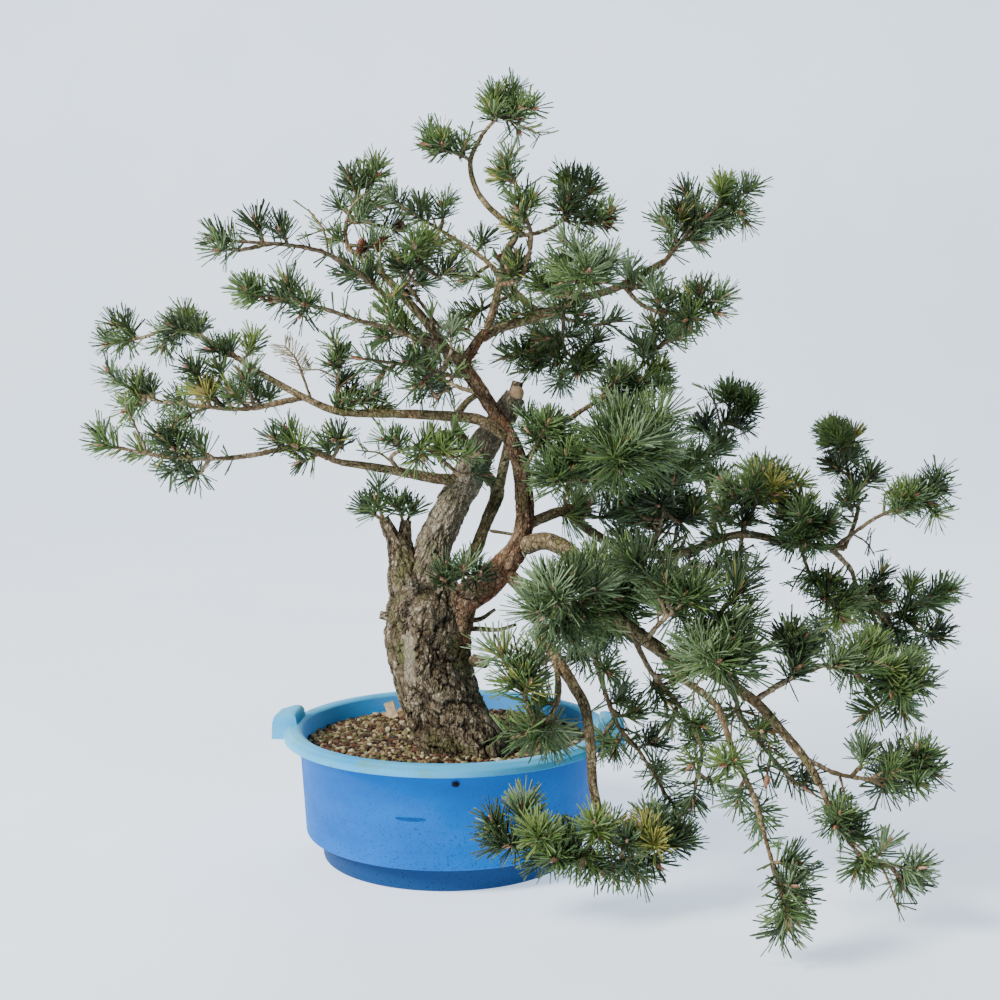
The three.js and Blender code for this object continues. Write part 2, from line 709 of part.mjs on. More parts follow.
// A twig that ends in a slim core, with a needle on each of the core's faces. All needles
// point away from one place inside the core, so they spread like a fan. A needle that
// would not fit leaves its face bare.
function tuftSkin(twig, needle, random) {
  const base = twig.start;
  const tip = twig.end;
  const length = base.distanceTo(tip);
  const direction = tip.clone().sub(base).normalize();
  const turn = random() * 2 * Math.PI;
  const across = perpendicularTo(direction).applyAxisAngle(direction, turn);
  const over = new THREE.Vector3().crossVectors(direction, across);
  const ring = (along, radius) => ringAround(
    base.clone().addScaledVector(direction, along), across, over, radius, TWIG_SIDES, () => 1);
  const back = length - CORE_LENGTH;
  const rings = [
    ring(0, TWIG_RADIUS), ring(back, TWIG_RADIUS * 1.5), ring(back + CORE_LENGTH * 0.45, CORE_RADIUS),
  ];
  const { points, faces } = skinOver(rings);
  const apex = points.push(tip) - 1;
  const lastRing = 2 * TWIG_SIDES;
  const sides = faces.slice(0, 2 * TWIG_SIDES);
  const foot = faces.filter((face) => face.every((corner) => corner < TWIG_SIDES));
  const core = faces.slice(2 * TWIG_SIDES, 4 * TWIG_SIDES);
  for (let side = 0; side < TWIG_SIDES; side += 1) {
    core.push([lastRing + side, lastRing + ((side + 1) % TWIG_SIDES), apex]);
  }
  const source = base.clone().addScaledVector(direction, back + CORE_LENGTH * 0.06);
  const needles = [];
  const covered = core.flatMap((face) => {
    const root = new THREE.Vector3();
    face.forEach((corner) => root.addScaledVector(points[corner], 1 / 3));
    const reach = needle * (0.85 + 0.3 * random());
    const end = root.clone().addScaledVector(root.clone().sub(source).normalize(), reach);
    const piece = { ...twig, start: root, end, startRadius: NEEDLE_ROOM, endRadius: 0.3 };
    if (!fits(piece)) return [face];
    const point = points.push(end) - 1;
    needles.push(piece);
    const [a, b, c] = face;
    return [[a, b, point], [b, c, point], [c, a, point]];
  });
  return { skin: { points, faces: [...sides, ...foot, ...covered] }, needles };
}

// Which way the side twigs of a stem point: round it by the golden angle, forward and up
function twigDirection(ahead, order, jitter) {
  const across = perpendicularTo(ahead);
  const over = new THREE.Vector3().crossVectors(across, ahead);
  const turn = order * GOLDEN_ANGLE + jitter;
  return ahead.clone().multiplyScalar(0.55)
    .addScaledVector(across, Math.cos(turn))
    .addScaledVector(over, Math.sin(turn))
    .addScaledVector(UP, 0.3)
    .normalize();
}

// How far along the stem a twig stands. The last one is the stem's own tip. The others
// gather at the mass's pads, or where it has none get closer together towards the tip.
function shareOfStem(mass, order) {
  if (order === mass.tufts - 1) return 1;
  if (mass.pads) {
    const round = Math.floor(order / mass.pads.length);
    return mass.pads[order % mass.pads.length] + (round - 1) * PAD_STEP;
  }
  return mass.bare + (1 - mass.bare) * ((order + 1) / mass.tufts) ** TUFT_CROWDING;
}

// The twigs of one mass that have room
function twigsOf(mass, curve, random) {
  const twigs = [];
  for (let order = 0; order < mass.tufts; order += 1) {
    const isTip = order === mass.tufts - 1;
    const share = THREE.MathUtils.clamp(shareOfStem(mass, order), 0.03, 1);
    const ahead = curve.getTangent(share);
    const jitter = random() * 1.2;
    const stretch = 0.75 + 0.5 * random();
    const direction = isTip ? ahead : twigDirection(ahead, order, jitter);
    const length = isTip ? TIP_TWIG_LENGTH : Math.max(mass.spread * stretch, CORE_LENGTH + 2);
    const start = curve.getPoint(share).addScaledVector(direction, isTip ? -3 : 0);
    const end = start.clone().addScaledVector(direction, length);
    const twig = {
      owner: mass.name, tuft: order, start, end, startRadius: TWIG_RADIUS, endRadius: CORE_RADIUS,
    };
    if (fits(twig)) {
      taken.push(twig);
      twigs.push(twig);
    }
  }
  return twigs;
}

// Limbs: where each starts, its centre line, and its solid cut clear of the ones before
const curves = new Map();
const grownLimbs = [];

function routeFrom(from, places) {
  const points = places.map(sighted);
  if (from === undefined) return points;
  const [parent, knot] = from;
  const curve = curves.get(parent);
  return [curve.getPoint(knot / (curve.points.length - 1)), ...points];
}

// The same line a little thicker and longer, to cut its neighbours clear of it
function grownLine(line, gap) {
  const grown = line.map(({ point, radius }) => (
    { point: point.clone(), radius: radius + gap * 1.2 }));
  const last = grown[grown.length - 1].point;
  last.addScaledVector(last.clone().sub(line[line.length - 2].point).normalize(), gap);
  return grown;
}

function cutClear(solid) {
  return largestBody(grownLimbs.reduce((left, grown) => left.subtract(grown), solid));
}

function limbSides(radii) {
  return Math.max(...radii) > THICK_LIMB_RADIUS ? THICK_LIMB_SIDES : THIN_LIMB_SIDES;
}

// A limb's solid, and the room that its neighbours are cut clear of
function solidAndRoom(owner, line, sides, shape) {
  take(owner, line);
  return {
    solid: solidOf(skinOver(ringsAlong(line, sides, shape))),
    room: solidOf(skinOver(ringsAlong(grownLine(line, SEAT_GAP), sides, shape))),
  };
}

// The trunk with its stubs, cut flat where it stands on the soil
function buildTrunk({ name, radii, route }) {
  const points = routeFrom(undefined, route);
  curves.set(name, smoothCurve(points));
  const line = centreLine(points, radii, TRUNK_STRIDE);
  const flare = (angle, index) => {
    const height = Math.max(line[index].point.z - SOIL_TOP, 0);
    const lobes = 0.6 + Math.cos(3 * angle + 0.8);
    const ribs = 0.035 * Math.cos(5 * angle + height / 40);
    return 1 + FLARE * Math.exp(-height / FLARE_HEIGHT) * lobes + ribs;
  };
  const parts = [solidAndRoom(name, line, TRUNK_SIDES, flare)];
  STUBS.forEach((stub) => {
    const stubLine = centreLine(routeFrom([name, stub.knot], stub.route), stub.radii, STUB_STRIDE);
    parts.push(solidAndRoom(name, stubLine, limbSides(stub.radii)));
  });
  const [solid, room] = ['solid', 'room'].map((kind) => (
    parts.map((part) => part[kind]).reduce((whole, part) => whole.add(part))));
  grownLimbs.push(room);
  const below = new THREE.BoxGeometry(400, 400, 200).translate(0, 0, SOIL_TOP + SEAT_GAP - 100);
  return largestBody(solid.subtract(solidOfGeometry(below)));
}

function buildBough({ name, from, radii, route }) {
  const points = routeFrom(from, route);
  curves.set(name, smoothCurve(points));
  const line = centreLine(points, radii, LIMB_STRIDE);
  const { solid, room } = solidAndRoom(name, line, limbSides(radii));
  const seated = cutClear(solid);
  grownLimbs.push(room);
  return seated;
}

// A mass's stem is thin at its tip, and thickens towards the limb that it grows from
function stemRadii(points) {
  const length = smoothCurve(points).getLength();
  return [STEM_TIP_RADIUS + length * STEM_TAPER_PER_MM, STEM_TIP_RADIUS];
}

function stemOf(mass) {
  const points = routeFrom(mass.from, mass.stem);
  const line = centreLine(points, stemRadii(points), STEM_STRIDE);
  take(mass.name, line);
  return { curve: smoothCurve(points), line };
}

function buildMass(mass, line, twigs, random) {
  let solid = solidOf(skinOver(ringsAlong(line, STEM_SIDES)));
  twigs.forEach((twig) => {
    const { skin, needles } = tuftSkin(twig, mass.needle, random);
    taken.push(...needles);
    solid = solid.add(solidOf(skin));
  });
  return cutClear(solid);
}

function limbColour(name) {
  if (name === 'trunk') return BARK_GREY;
  if (name === 'red_limb') return BARK_RED;
  return name === 'mossy_limb' ? BARK_MOSS : BARK_PALE;
}

const pine = new THREE.Group();
pine.add(meshOf('tub', tubSolid(), TUB_BLUE, 0.45));
pine.add(meshOf('soil', soilSolid(), SOIL_BROWN, 0.95));
LIMBS.forEach((limb) => {
  const solid = limb.from === undefined ? buildTrunk(limb) : buildBough(limb);
  pine.add(meshOf(limb.name, solid, limbColour(limb.name), 0.9));
});

// All stems find their places first, then all twigs, then the needles
const stems = MASSES.map(stemOf);
const dice = MASSES.map((mass, index) => seeded(index + 1));
const twigs = MASSES.map((mass, index) => twigsOf(mass, stems[index].curve, dice[index]));
MASSES.forEach((mass, index) => {
  const solid = buildMass(mass, stems[index].line, twigs[index], dice[index]);
  const colour = new THREE.Color(NEEDLE_DARK).lerp(new THREE.Color(NEEDLE_LIGHT), (index % 5) / 5);
  pine.add(meshOf(`needles_${mass.name}`, solid, colour, 0.6));
});

export default pine;
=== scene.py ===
"""A scots pine bonsai in a round plastic tub of gravel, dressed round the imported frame.

The limbs, the stems of the masses and their growing rule are the CAD part's own, in
millimetres. Every mesh is made in millimetres too and brought to metres as it is built.
"""

import json
import math
from collections import namedtuple

import bpy
import numpy as np
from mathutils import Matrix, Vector

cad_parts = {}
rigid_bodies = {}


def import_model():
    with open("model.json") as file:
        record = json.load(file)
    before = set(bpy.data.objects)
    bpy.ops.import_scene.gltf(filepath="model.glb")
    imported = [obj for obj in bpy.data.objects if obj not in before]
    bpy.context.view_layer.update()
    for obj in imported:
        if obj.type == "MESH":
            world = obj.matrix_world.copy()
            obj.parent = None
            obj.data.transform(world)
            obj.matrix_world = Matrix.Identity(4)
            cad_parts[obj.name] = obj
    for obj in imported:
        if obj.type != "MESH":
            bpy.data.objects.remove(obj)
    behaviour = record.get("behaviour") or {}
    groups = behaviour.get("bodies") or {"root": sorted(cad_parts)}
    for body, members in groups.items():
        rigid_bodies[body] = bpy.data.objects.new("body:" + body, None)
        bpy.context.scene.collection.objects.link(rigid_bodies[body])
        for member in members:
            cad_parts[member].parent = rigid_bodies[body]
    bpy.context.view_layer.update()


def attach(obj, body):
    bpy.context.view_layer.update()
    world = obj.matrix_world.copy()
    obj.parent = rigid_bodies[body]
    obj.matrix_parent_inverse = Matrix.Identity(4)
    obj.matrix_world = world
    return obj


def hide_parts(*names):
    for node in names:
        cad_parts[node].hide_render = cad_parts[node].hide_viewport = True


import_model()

MM = 0.001
UP = np.array([0.0, 0.0, 1.0])
GOLDEN_ANGLE = math.pi * (3 - math.sqrt(5))

# The photo's viewpoint: straight ahead of the tree, looking slightly down
EYE_ACROSS = 58
EYE_HEIGHT = 563
EYE_DISTANCE = 1700
EYE_PITCH = 5.6
LENS = 55.6

# Tub
TUB_WALL = 3
FOOT_RADIUS = 140
FOOT_HEIGHT = 28
BODY_BOTTOM_RADIUS = 159
BODY_TOP_RADIUS = 166
LIP_RADIUS = 183
LIP_TOP = 145
LIP_SKIRT = 12
LUG_WIDTH = 46
LUG_REACH = 15
LUG_RISE = 14
LUG_TURN = -5
WATER_HOLE_RADIUS = 4
WATER_HOLE_HEIGHT = 122
WATER_HOLE_TURN = -85.5

# Gravel soil
SOIL_TOP = 127
SOIL_EDGE_DROP = 4
SOIL_PLATEAU_RADIUS = 92

# Limbs, each from a knot of an earlier limb's route. The radii run from root to tip.
# Places are sighted: across, up, and the depth behind the plane through the tub's axis.
Limb = namedtuple("Limb", "name parent knot radii route")
LIMBS = [
    Limb("trunk", None, 0, [44, 40, 42, 43, 46, 44, 31, 20, 18, 17, 16, 15, 12],
         [(27, 90, -46), (22, 120, -45), (2, 150, -42), (-17, 200, -38), (-23, 240, -34),
          (-21, 278, -30), (-20, 310, -26), (-17, 340, -22), (0, 380, -15), (20, 418, -8),
          (35, 450, -2), (52, 475, 3), (75, 512, 6)]),
    Limb("red_limb", "trunk", 4.7, [22, 19, 17.5, 14.5, 12, 10.5, 10.5, 9.5, 9, 8, 7.5, 7, 6, 5],
         [(20, 287, -52), (45, 305, -56), (65, 325, -57), (80, 347, -55), (85, 375, -50),
          (84, 405, -45), (81, 432, -42), (70, 463, -40), (54, 490, -32), (35, 520, -20),
          (20, 545, -12), (30, 565, -8), (42, 582, -5)]),
    Limb("mossy_limb", "trunk", 6, [10, 9, 7.5, 6.5, 8, 6, 5.5, 5, 4, 3.5],
         [(10, 316, -14), (30, 340, -8), (42, 370, 0), (55, 405, 16), (40, 428, 30), (20, 460, 38),
          (8, 482, 40), (20, 503, 42), (36, 515, 45)]),
    Limb("left_upper_bough", "red_limb", 8, [6.5, 3.4],
         [(48, 478, -46), (30, 486, -44), (0, 489, -32), (-60, 492, -15), (-118, 494, 0),
          (-158, 510, 10), (-205, 536, 18)]),
    Limb("left_lower_bough", "trunk", 9, [7, 3.6],
         [(-10, 420, -26), (-28, 423, -30), (-70, 431, -40), (-118, 438, -48)]),
    Limb("left_high_bough", "red_limb", 11, [6.5, 3],
         [(0, 561, -6), (-21, 590, 8), (-47, 619, 20), (-77, 650, 34), (-108, 672, 48)]),
    Limb("leader", "red_limb", 13, [5, 2.4],
         [(51, 605, -6), (58, 639, -10), (66, 668, -14), (75, 688, -18), (60, 703, -16), (42, 720, -12),
          (30, 740, -8), (26, 766, -4), (38, 792, 0)]),
    Limb("right_high_bough", "red_limb", 12.4, [5.5, 4],
         [(60, 586, 14), (102, 598, 18), (140, 616, 24), (167, 623, 28), (192, 632, 32), (237, 657, 40)]),
    Limb("right_middle_bough", "red_limb", 4.7, [6, 4],
         [(105, 376, -38), (130, 383, -20), (155, 364, 0), (185, 345, 14), (216, 336, 24),
          (262, 338, 34), (325, 358, 44), (385, 347, 50), (440, 343, 54)]),
    Limb("right_low_bough", "red_limb", 3.7, [10, 7.5],
         [(100, 350, -68), (118, 348, -80), (138, 335, -95), (148, 310, -112), (165, 283, -128),
          (195, 258, -142), (240, 226, -158)]),
    Limb("right_long_bough", "right_low_bough", 7, [6.5, 4],
         [(290, 205, -172), (343, 170, -188), (372, 138, -198), (400, 105, -208), (418, 75, -218)]),
    Limb("front_bough", "red_limb", 2.8, [7.5, 4.5],
         [(75, 306, -68), (92, 286, -84), (106, 245, -118), (125, 212, -145), (140, 188, -163),
          (153, 163, -182), (160, 120, -205), (162, 78, -214), (169, 42, -220)]),
]

# Short dead stubs and sawn ends: a knot of the trunk's route, radii and route
STUBS = [
    (5, [30, 27, 15, 9, 6], [(-40, 300, -30), (-52, 335, -30), (-61, 356, -30), (-71, 376, -28)]),
    (5.5, [20, 12, 8.5, 6], [(-44, 325, -24), (-48, 352, -20), (-46, 374, -18)]),
    (4.3, [5, 3, 2.2, 1.8], [(30, 252, -46), (56, 251, -52), (76, 257, -58)]),
    (5, [5, 3, 1.8], [(28, 262, -30), (53, 274, -30)]),
    (12, [8, 7, 6.5], [(76, 519, 6), (78, 527, 6)]),
]

# Masses of needles, each on a stem from a knot of a limb, with the number of tufts on its
# own twigs, the twigs' and the needles' length, and the share of the stem that is bare, or
# the shares at which its pads of tufts lie. The sprays are the places of more tufts that
# the photo shows, on side twigs: across and up, on the plane through the axis.
Mass = namedtuple("Mass", "name parent knot tufts spread needle spacing stem sprays")
MASSES = [
    Mass("left_low", "left_lower_bough", 4, 7, 22, 30, [0.1, 0.76],
         [(-165, 454, -54), (-221, 445, -66), (-262, 442, -78), (-320, 446, -94), (-366, 455, -106)],
         [(-306, 478), (-298, 430), (-286, 418), (-280, 462), (-180, 478), (-196, 466), (-120, 468)]),
    Mass("left_outer", "left_upper_bough", 6, 8, 25, 29, [0.3, 0.56, 0.94],
         [(-187, 503, 8), (-224, 497, 20), (-275, 500, 34), (-320, 506, 48), (-350, 520, 58)],
         [(-350, 498), (-278, 545), (-255, 548), (-262, 526), (-284, 524), (-240, 512), (-228, 538),
          (-330, 522), (-300, 505)]),
    Mass("left_crown", "left_upper_bough", 7, 7, 24, 29, [0.2, 0.55, 0.62, 0.93],
         [(-232, 554, 46), (-262, 572, 66), (-292, 588, 84), (-330, 576, 98), (-360, 570, 106)],
         [(-312, 560), (-290, 606), (-276, 592), (-356, 566), (-240, 570)]),
    Mass("left_knee", "left_upper_bough", 5.1, 3, 20, 26, 0.2,
         [(-121, 515, 12), (-118, 545, 18)],
         [(-98, 516), (-115, 503), (-78, 508), (-66, 500)]),
    Mass("inner_dark", "left_lower_bough", 2.6, 3, 16, 27, 0.1,
         [(-62, 444, -54), (-40, 454, -72), (-12, 452, -82)],
         [(-26, 440), (8, 462), (46, 424), (34, 446)]),
    Mass("left_top", "left_high_bough", 5, 6, 24, 30, 0.05,
         [(-110, 695, 66), (-100, 722, 88), (-93, 742, 110)],
         [(-126, 682), (-72, 752), (-84, 700), (-74, 680), (-47, 690)]),
    Mass("back_top", "right_high_bough", 2, 5, 20, 30, [0.6, 0.88],
         [(72, 628, 66), (38, 662, 112), (-5, 690, 156), (-50, 716, 190)],
         [(-6, 722), (-68, 735), (-18, 670), (42, 631), (26, 598), (67, 622), (14, 637)]),
    Mass("left_brush", "left_high_bough", 1.4, 5, 16, 32, [0.54, 0.92],
         [(-34, 583, -26), (-60, 614, -44), (-107, 652, -70), (-151, 672, -90), (-236, 680, -112)],
         [(-252, 672)]),
    Mass("left_fan", "left_high_bough", 0.8, 5, 16, 30, [0.36, 0.9],
         [(-20, 568, -46), (-60, 584, -80), (-99, 594, -106), (-137, 607, -128), (-204, 622, -148)],
         [(-66, 608), (-222, 625), (-178, 618)]),
    Mass("left_cross", "red_limb", 10.5, 4, 22, 28, 0.15,
         [(0, 534, -40), (-25, 543, -50), (-45, 545, -54), (-80, 550, -58)],
         [(5, 588), (-28, 522)]),
    Mass("left_dark", "left_high_bough", 3.2, 4, 25, 30, 0.15,
         [(-38, 642, 0), (-30, 665, -10)],
         [(-22, 632), (-45, 622), (-60, 652), (5, 648), (20, 584)]),
    Mass("apex", "leader", 9, 5, 16, 29, 0.15,
         [(52, 808, 2), (67, 817, 4)],
         [(48, 826), (84, 826)]),
    Mass("top_left", "leader", 8, 3, 15, 26, 0.35,
         [(8, 774, -12), (-6, 778, -18)],
         [(20, 784), (-14, 792)]),
    Mass("top_middle", "leader", 1.8, 5, 18, 26, [0.2, 0.66, 0.9],
         [(80, 640, -36), (92, 680, -54), (84, 712, -64), (76, 738, -72), (68, 754, -78)],
         [(76, 714), (66, 698), (52, 752), (77, 654)]),
    Mass("top_right", "leader", 3.8, 5, 24, 29, [0.6, 0.9],
         [(105, 690, 12), (130, 706, 34), (146, 735, 56)],
         [(160, 736), (166, 708), (124, 716), (178, 698)]),
    Mass("right_tip", "right_high_bough", 6, 6, 28, 30, 0.05,
         [(258, 682, 64), (284, 708, 92), (318, 728, 122)],
         [(236, 700), (298, 696), (322, 708), (272, 690), (300, 738), (248, 674), (253, 713),
          (264, 729), (262, 700), (280, 678)]),
    Mass("near_high", "right_high_bough", 3, 4, 20, 33, 0.5,
         [(140, 620, -30), (146, 630, -80), (152, 642, -118)],
         [(122, 656), (182, 660), (116, 634), (176, 636), (72, 600), (140, 680), (101, 640)]),
    Mass("right_shelf", "right_high_bough", 5, 5, 20, 29, 0.3,
         [(210, 613, 8), (232, 603, -20), (262, 602, -48), (290, 614, -70)],
         [(200, 652), (246, 622), (266, 584), (300, 600), (216, 636)]),
    Mass("right_stair", "red_limb", 7, 7, 25, 29, 0.4,
         [(110, 468, -20), (140, 490, 6), (181, 516, 30), (215, 545, 52), (238, 570, 72)],
         [(224, 596), (240, 520), (214, 514), (198, 536), (186, 505)]),
    Mass("right_inner", "right_high_bough", 2.6, 4, 23, 29, 0.2,
         [(127, 590, 46), (128, 565, 66), (142, 548, 84)],
         [(112, 600), (150, 600), (124, 520), (168, 576), (120, 545), (166, 548), (190, 594),
          (104, 574), (134, 612), (88, 560), (92, 573), (71, 557), (101, 549), (81, 538), (147, 549),
          (58, 590), (60, 552), (100, 600)]),
    Mass("near_knot", "red_limb", 6.6, 3, 15, 30, 0.55,
         [(94, 448, -76), (106, 472, -104)],
         [(92, 486), (128, 480), (112, 455)]),
    Mass("near_fan", "right_middle_bough", 2.7, 4, 22, 37, 0.6,
         [(160, 398, -50), (172, 425, -100), (190, 452, -140)],
         [(215, 475), (236, 456), (196, 482), (226, 446), (172, 470), (240, 492)]),
    Mass("near_round", "right_middle_bough", 2, 4, 22, 32, 0.35,
         [(130, 405, -64), (136, 424, -104)],
         [(176, 420), (150, 394), (196, 414), (128, 440), (141, 374), (190, 376)]),
    Mass("right_heart", "right_middle_bough", 5, 5, 25, 32, 0.1,
         [(232, 358, 4), (240, 388, -30), (246, 408, -56)],
         [(272, 438), (216, 402), (196, 392), (262, 380), (240, 430), (222, 430), (279, 380),
          (190, 352), (228, 372), (206, 378)]),
    Mass("right_fringe", "right_middle_bough", 5.4, 4, 18, 27, 0.1,
         [(248, 322, 48), (288, 312, 58), (330, 318, 66)],
         [(226, 350), (246, 336), (208, 344), (262, 350), (300, 328)]),
    Mass("right_rise", "right_middle_bough", 6.6, 5, 22, 29, 0.3,
         [(290, 395, 90), (286, 435, 128), (300, 475, 162), (320, 502, 186)],
         [(334, 500), (268, 430), (301, 419), (345, 398)]),
    Mass("right_dense", "right_middle_bough", 7, 5, 27, 29, 0.1,
         [(338, 384, 26), (344, 410, 16)],
         [(300, 386), (364, 402), (330, 372), (376, 420), (310, 410), (358, 430), (324, 322), (290, 350)]),
    Mass("right_front", "right_middle_bough", 8, 5, 25, 30, 0.15,
         [(392, 362, 18), (398, 370, -12)],
         [(416, 352), (380, 346), (430, 372), (372, 392)]),
    Mass("right_peak", "right_middle_bough", 9, 5, 24, 29, 0.35,
         [(450, 368, 74), (454, 395, 98), (442, 430, 124), (431, 460, 146)],
         [(446, 414), (418, 462), (450, 474), (440, 396), (421, 474)]),
    Mass("right_wing", "right_middle_bough", 8.8, 4, 18, 30, 0.45,
         [(470, 374, 28), (495, 386, 20), (525, 402, 14)],
         [(518, 402), (504, 388)]),
    Mass("right_drip", "right_middle_bough", 8.1, 3, 17, 29, 0.6,
         [(402, 315, 34), (418, 292, 20), (430, 276, 8)],
         [(404, 304), (424, 296), (448, 276)]),
    Mass("right_skirt", "right_middle_bough", 8.7, 6, 26, 30, 0.4,
         [(448, 318, 82), (458, 290, 102), (490, 268, 116), (538, 290, 126)],
         [(496, 246), (460, 262), (556, 286), (478, 300), (520, 280), (437, 273), (504, 236),
          (543, 240), (470, 228), (526, 218), (415, 242)]),
    Mass("right_arm", "right_long_bough", 2, 7, 26, 30, [0.25, 0.72, 0.86],
         [(378, 193, -184), (412, 208, -182), (455, 217, -180), (496, 206, -178), (506, 172, -176)],
         [(378, 244), (400, 226), (440, 210), (490, 186), (520, 214), (466, 236), (461, 196),
          (504, 206), (462, 150)]),
    Mass("near_low", "right_long_bough", 1, 3, 18, 32, 0.4,
         [(292, 208, -208), (298, 212, -228)],
         [(262, 208), (332, 216), (310, 236), (321, 196)]),
    Mass("right_belly", "right_low_bough", 6.6, 5, 27, 32, 0.3,
         [(240, 262, -190), (270, 278, -196), (318, 262, -180)],
         [(232, 292), (242, 312), (300, 236), (282, 242), (264, 262), (213, 329), (236, 284)]),
    Mass("near_centre", "right_low_bough", 4.4, 5, 22, 33, 0.15,
         [(172, 292, -128), (152, 290, -170), (130, 282, -204)],
         [(104, 292), (150, 262), (120, 256), (176, 270), (192, 286), (90, 270), (140, 240), (191, 304),
          (169, 326), (190, 242), (206, 290), (178, 262)]),
    Mass("stilt", "right_low_bough", 5.2, 6, 24, 30, 0.1,
         [(163, 240, -100), (168, 205, -92), (190, 143, -96), (215, 112, -108), (248, 58, -125)],
         [(150, 215), (212, 150), (176, 236), (170, 110)]),
    Mass("hook", "right_low_bough", 6.2, 5, 26, 29, 0.35,
         [(226, 205, -146), (262, 160, -150), (284, 115, -152), (278, 70, -152)],
         [(240, 176), (246, 140), (266, 206)]),
    Mass("right_fall", "right_long_bough", 1.5, 4, 21, 29, 0.1,
         [(330, 148, -170), (350, 122, -164), (375, 92, -160)],
         [(326, 152), (408, 66)]),
    Mass("tail", "right_low_bough", 6.85, 6, 24, 32, [0.6, 0.96],
         [(262, 196, -180), (300, 165, -200), (320, 112, -230), (343, 62, -266), (358, 12, -304),
          (380, -64, -338)],
         [(402, -60), (384, -96), (396, -84)]),
    Mass("low_arm", "right_long_bough", 4, 5, 26, 30, 0.35,
         [(440, 86, -206), (490, 80, -203), (520, 90, -200)],
         [(470, 118), (542, 112), (500, 104), (490, 66)]),
    Mass("low_tip", "right_long_bough", 5, 6, 23, 30, 0.05,
         [(438, 30, -236), (468, -8, -252), (514, -22, -262)],
         [(536, -38), (456, 20), (440, 48), (476, -26)]),
    Mass("curl", "front_bough", 3.5, 5, 20, 30, [0.4, 0.85],
         [(124, 190, -168), (118, 158, -196), (98, 150, -210), (84, 178, -214), (68, 210, -216)],
         [(100, 118), (122, 124), (78, 130), (92, 222), (64, 196), (88, 196)]),
    Mass("foot_fan", "front_bough", 9, 5, 24, 33, 0.1,
         [(156, 0, -234), (120, -2, -240), (66, 14, -238)],
         [(120, 6), (150, -20), (170, 12), (174, -30), (98, -12), (64, 2), (136, -8), (110, 18)]),
    Mass("foot_brush", "front_bough", 8.6, 5, 20, 30, 0.2,
         [(182, 14, -212), (208, -2, -206), (244, 4, -198)],
         [(210, -24), (232, 16), (196, -30), (256, 14), (190, 20)]),
    Mass("back_moss", "mossy_limb", 9, 5, 27, 32, 0.3,
         [(15, 520, 96), (-8, 532, 150), (-24, 548, 190)],
         [(-36, 520), (-12, 512), (10, 560)]),
]

# Stems and twigs, as in the part
STEM_TIP_RADIUS = 1.7
STEM_TAPER_PER_MM = 0.0085
TIP_TWIG_LENGTH = 16
CORE_LENGTH = 13
TUFT_CROWDING = 0.7
PAD_STEP = 0.06
FLARE = 0.14
FLARE_HEIGHT = 22


# Vectors and curves

def unit(vectors):
    return vectors / np.maximum(np.linalg.norm(vectors, axis=-1, keepdims=True), 1e-9)


def perpendicular_to(direction):
    guide = np.array([1.0, 0.0, 0.0]) if abs(direction[2]) > 0.95 else UP
    return unit(np.cross(direction, guide))


def sighted(place):
    """A place in the crown, from where the eye sees it on the plane through the axis."""
    across, up, depth = place
    scale = 1 + depth / EYE_DISTANCE
    return np.array([
        EYE_ACROSS + (across - EYE_ACROSS) * scale,
        depth,
        EYE_HEIGHT + (up - EYE_HEIGHT) * scale,
    ])


def seen_at(places):
    """Where the eye sees places in the crown, across and up on the plane through the axis."""
    scale = 1 + places[:, 1] / EYE_DISTANCE
    across = EYE_ACROSS + (places[:, 0] - EYE_ACROSS) / scale
    up = EYE_HEIGHT + (places[:, 2] - EYE_HEIGHT) / scale
    return np.stack([across, up], axis=1)


def random_across(directions, rng):
    """A random direction square to each of the given ones."""
    return unit(np.cross(directions, rng.normal(size=directions.shape)))


def round_angles(count):
    """Even angles all round."""
    return np.linspace(0, 2 * np.pi, count, endpoint=False)


class Route:
    """A smooth curve through its knots, read by a share of them from 0 to 1."""

    def __init__(self, knots):
        self.knots = np.array(knots, float)
        self.spans = len(self.knots) - 1
        first = 2 * self.knots[0] - self.knots[1]
        last = 2 * self.knots[-1] - self.knots[-2]
        self.padded = np.vstack([first, self.knots, last])

    def at(self, share):
        place = np.clip(np.asarray(share, float), 0, 1) * self.spans
        span = np.minimum(place.astype(int), self.spans - 1)
        t = (place - span)[..., None]
        before, start, end, after = (self.padded[span + step] for step in range(4))
        leaving = (end - before) / 2
        arriving = (after - start) / 2
        return ((2 * t**3 - 3 * t**2 + 1) * start + (t**3 - 2 * t**2 + t) * leaving
                + (3 * t**2 - 2 * t**3) * end + (t**3 - t**2) * arriving)

    def heading(self, share):
        return unit(self.at(share + 1e-4) - self.at(share - 1e-4))

    def even_shares(self, step):
        """Shares that lie about one step apart along the curve."""
        fine = np.linspace(0, 1, 60 * self.spans)
        run = run_along(self.at(fine))
        count = max(3, int(run[-1] / step) + 1)
        return np.interp(np.linspace(0, run[-1], count), run, fine)


def run_along(points):
    """How far along a line each of its points lies."""
    steps = np.linalg.norm(np.diff(np.array(points), axis=0), axis=1)
    return np.concatenate([[0], np.cumsum(steps)])


def radii_at_knots(knots, radii):
    """The radii at all knots, where only the root's and the tip's are given."""
    if len(radii) == len(knots):
        return np.array(radii, float)
    run = run_along(knots)
    return radii[0] + (radii[-1] - radii[0]) * run / run[-1]


def thick_line(knots, radii, step):
    """Points about one step apart along a limb, and its radius at each of them."""
    route = Route(knots)
    shares = route.even_shares(step)
    radii = np.interp(shares * route.spans, np.arange(len(knots)), radii_at_knots(knots, radii))
    return route.at(shares), radii


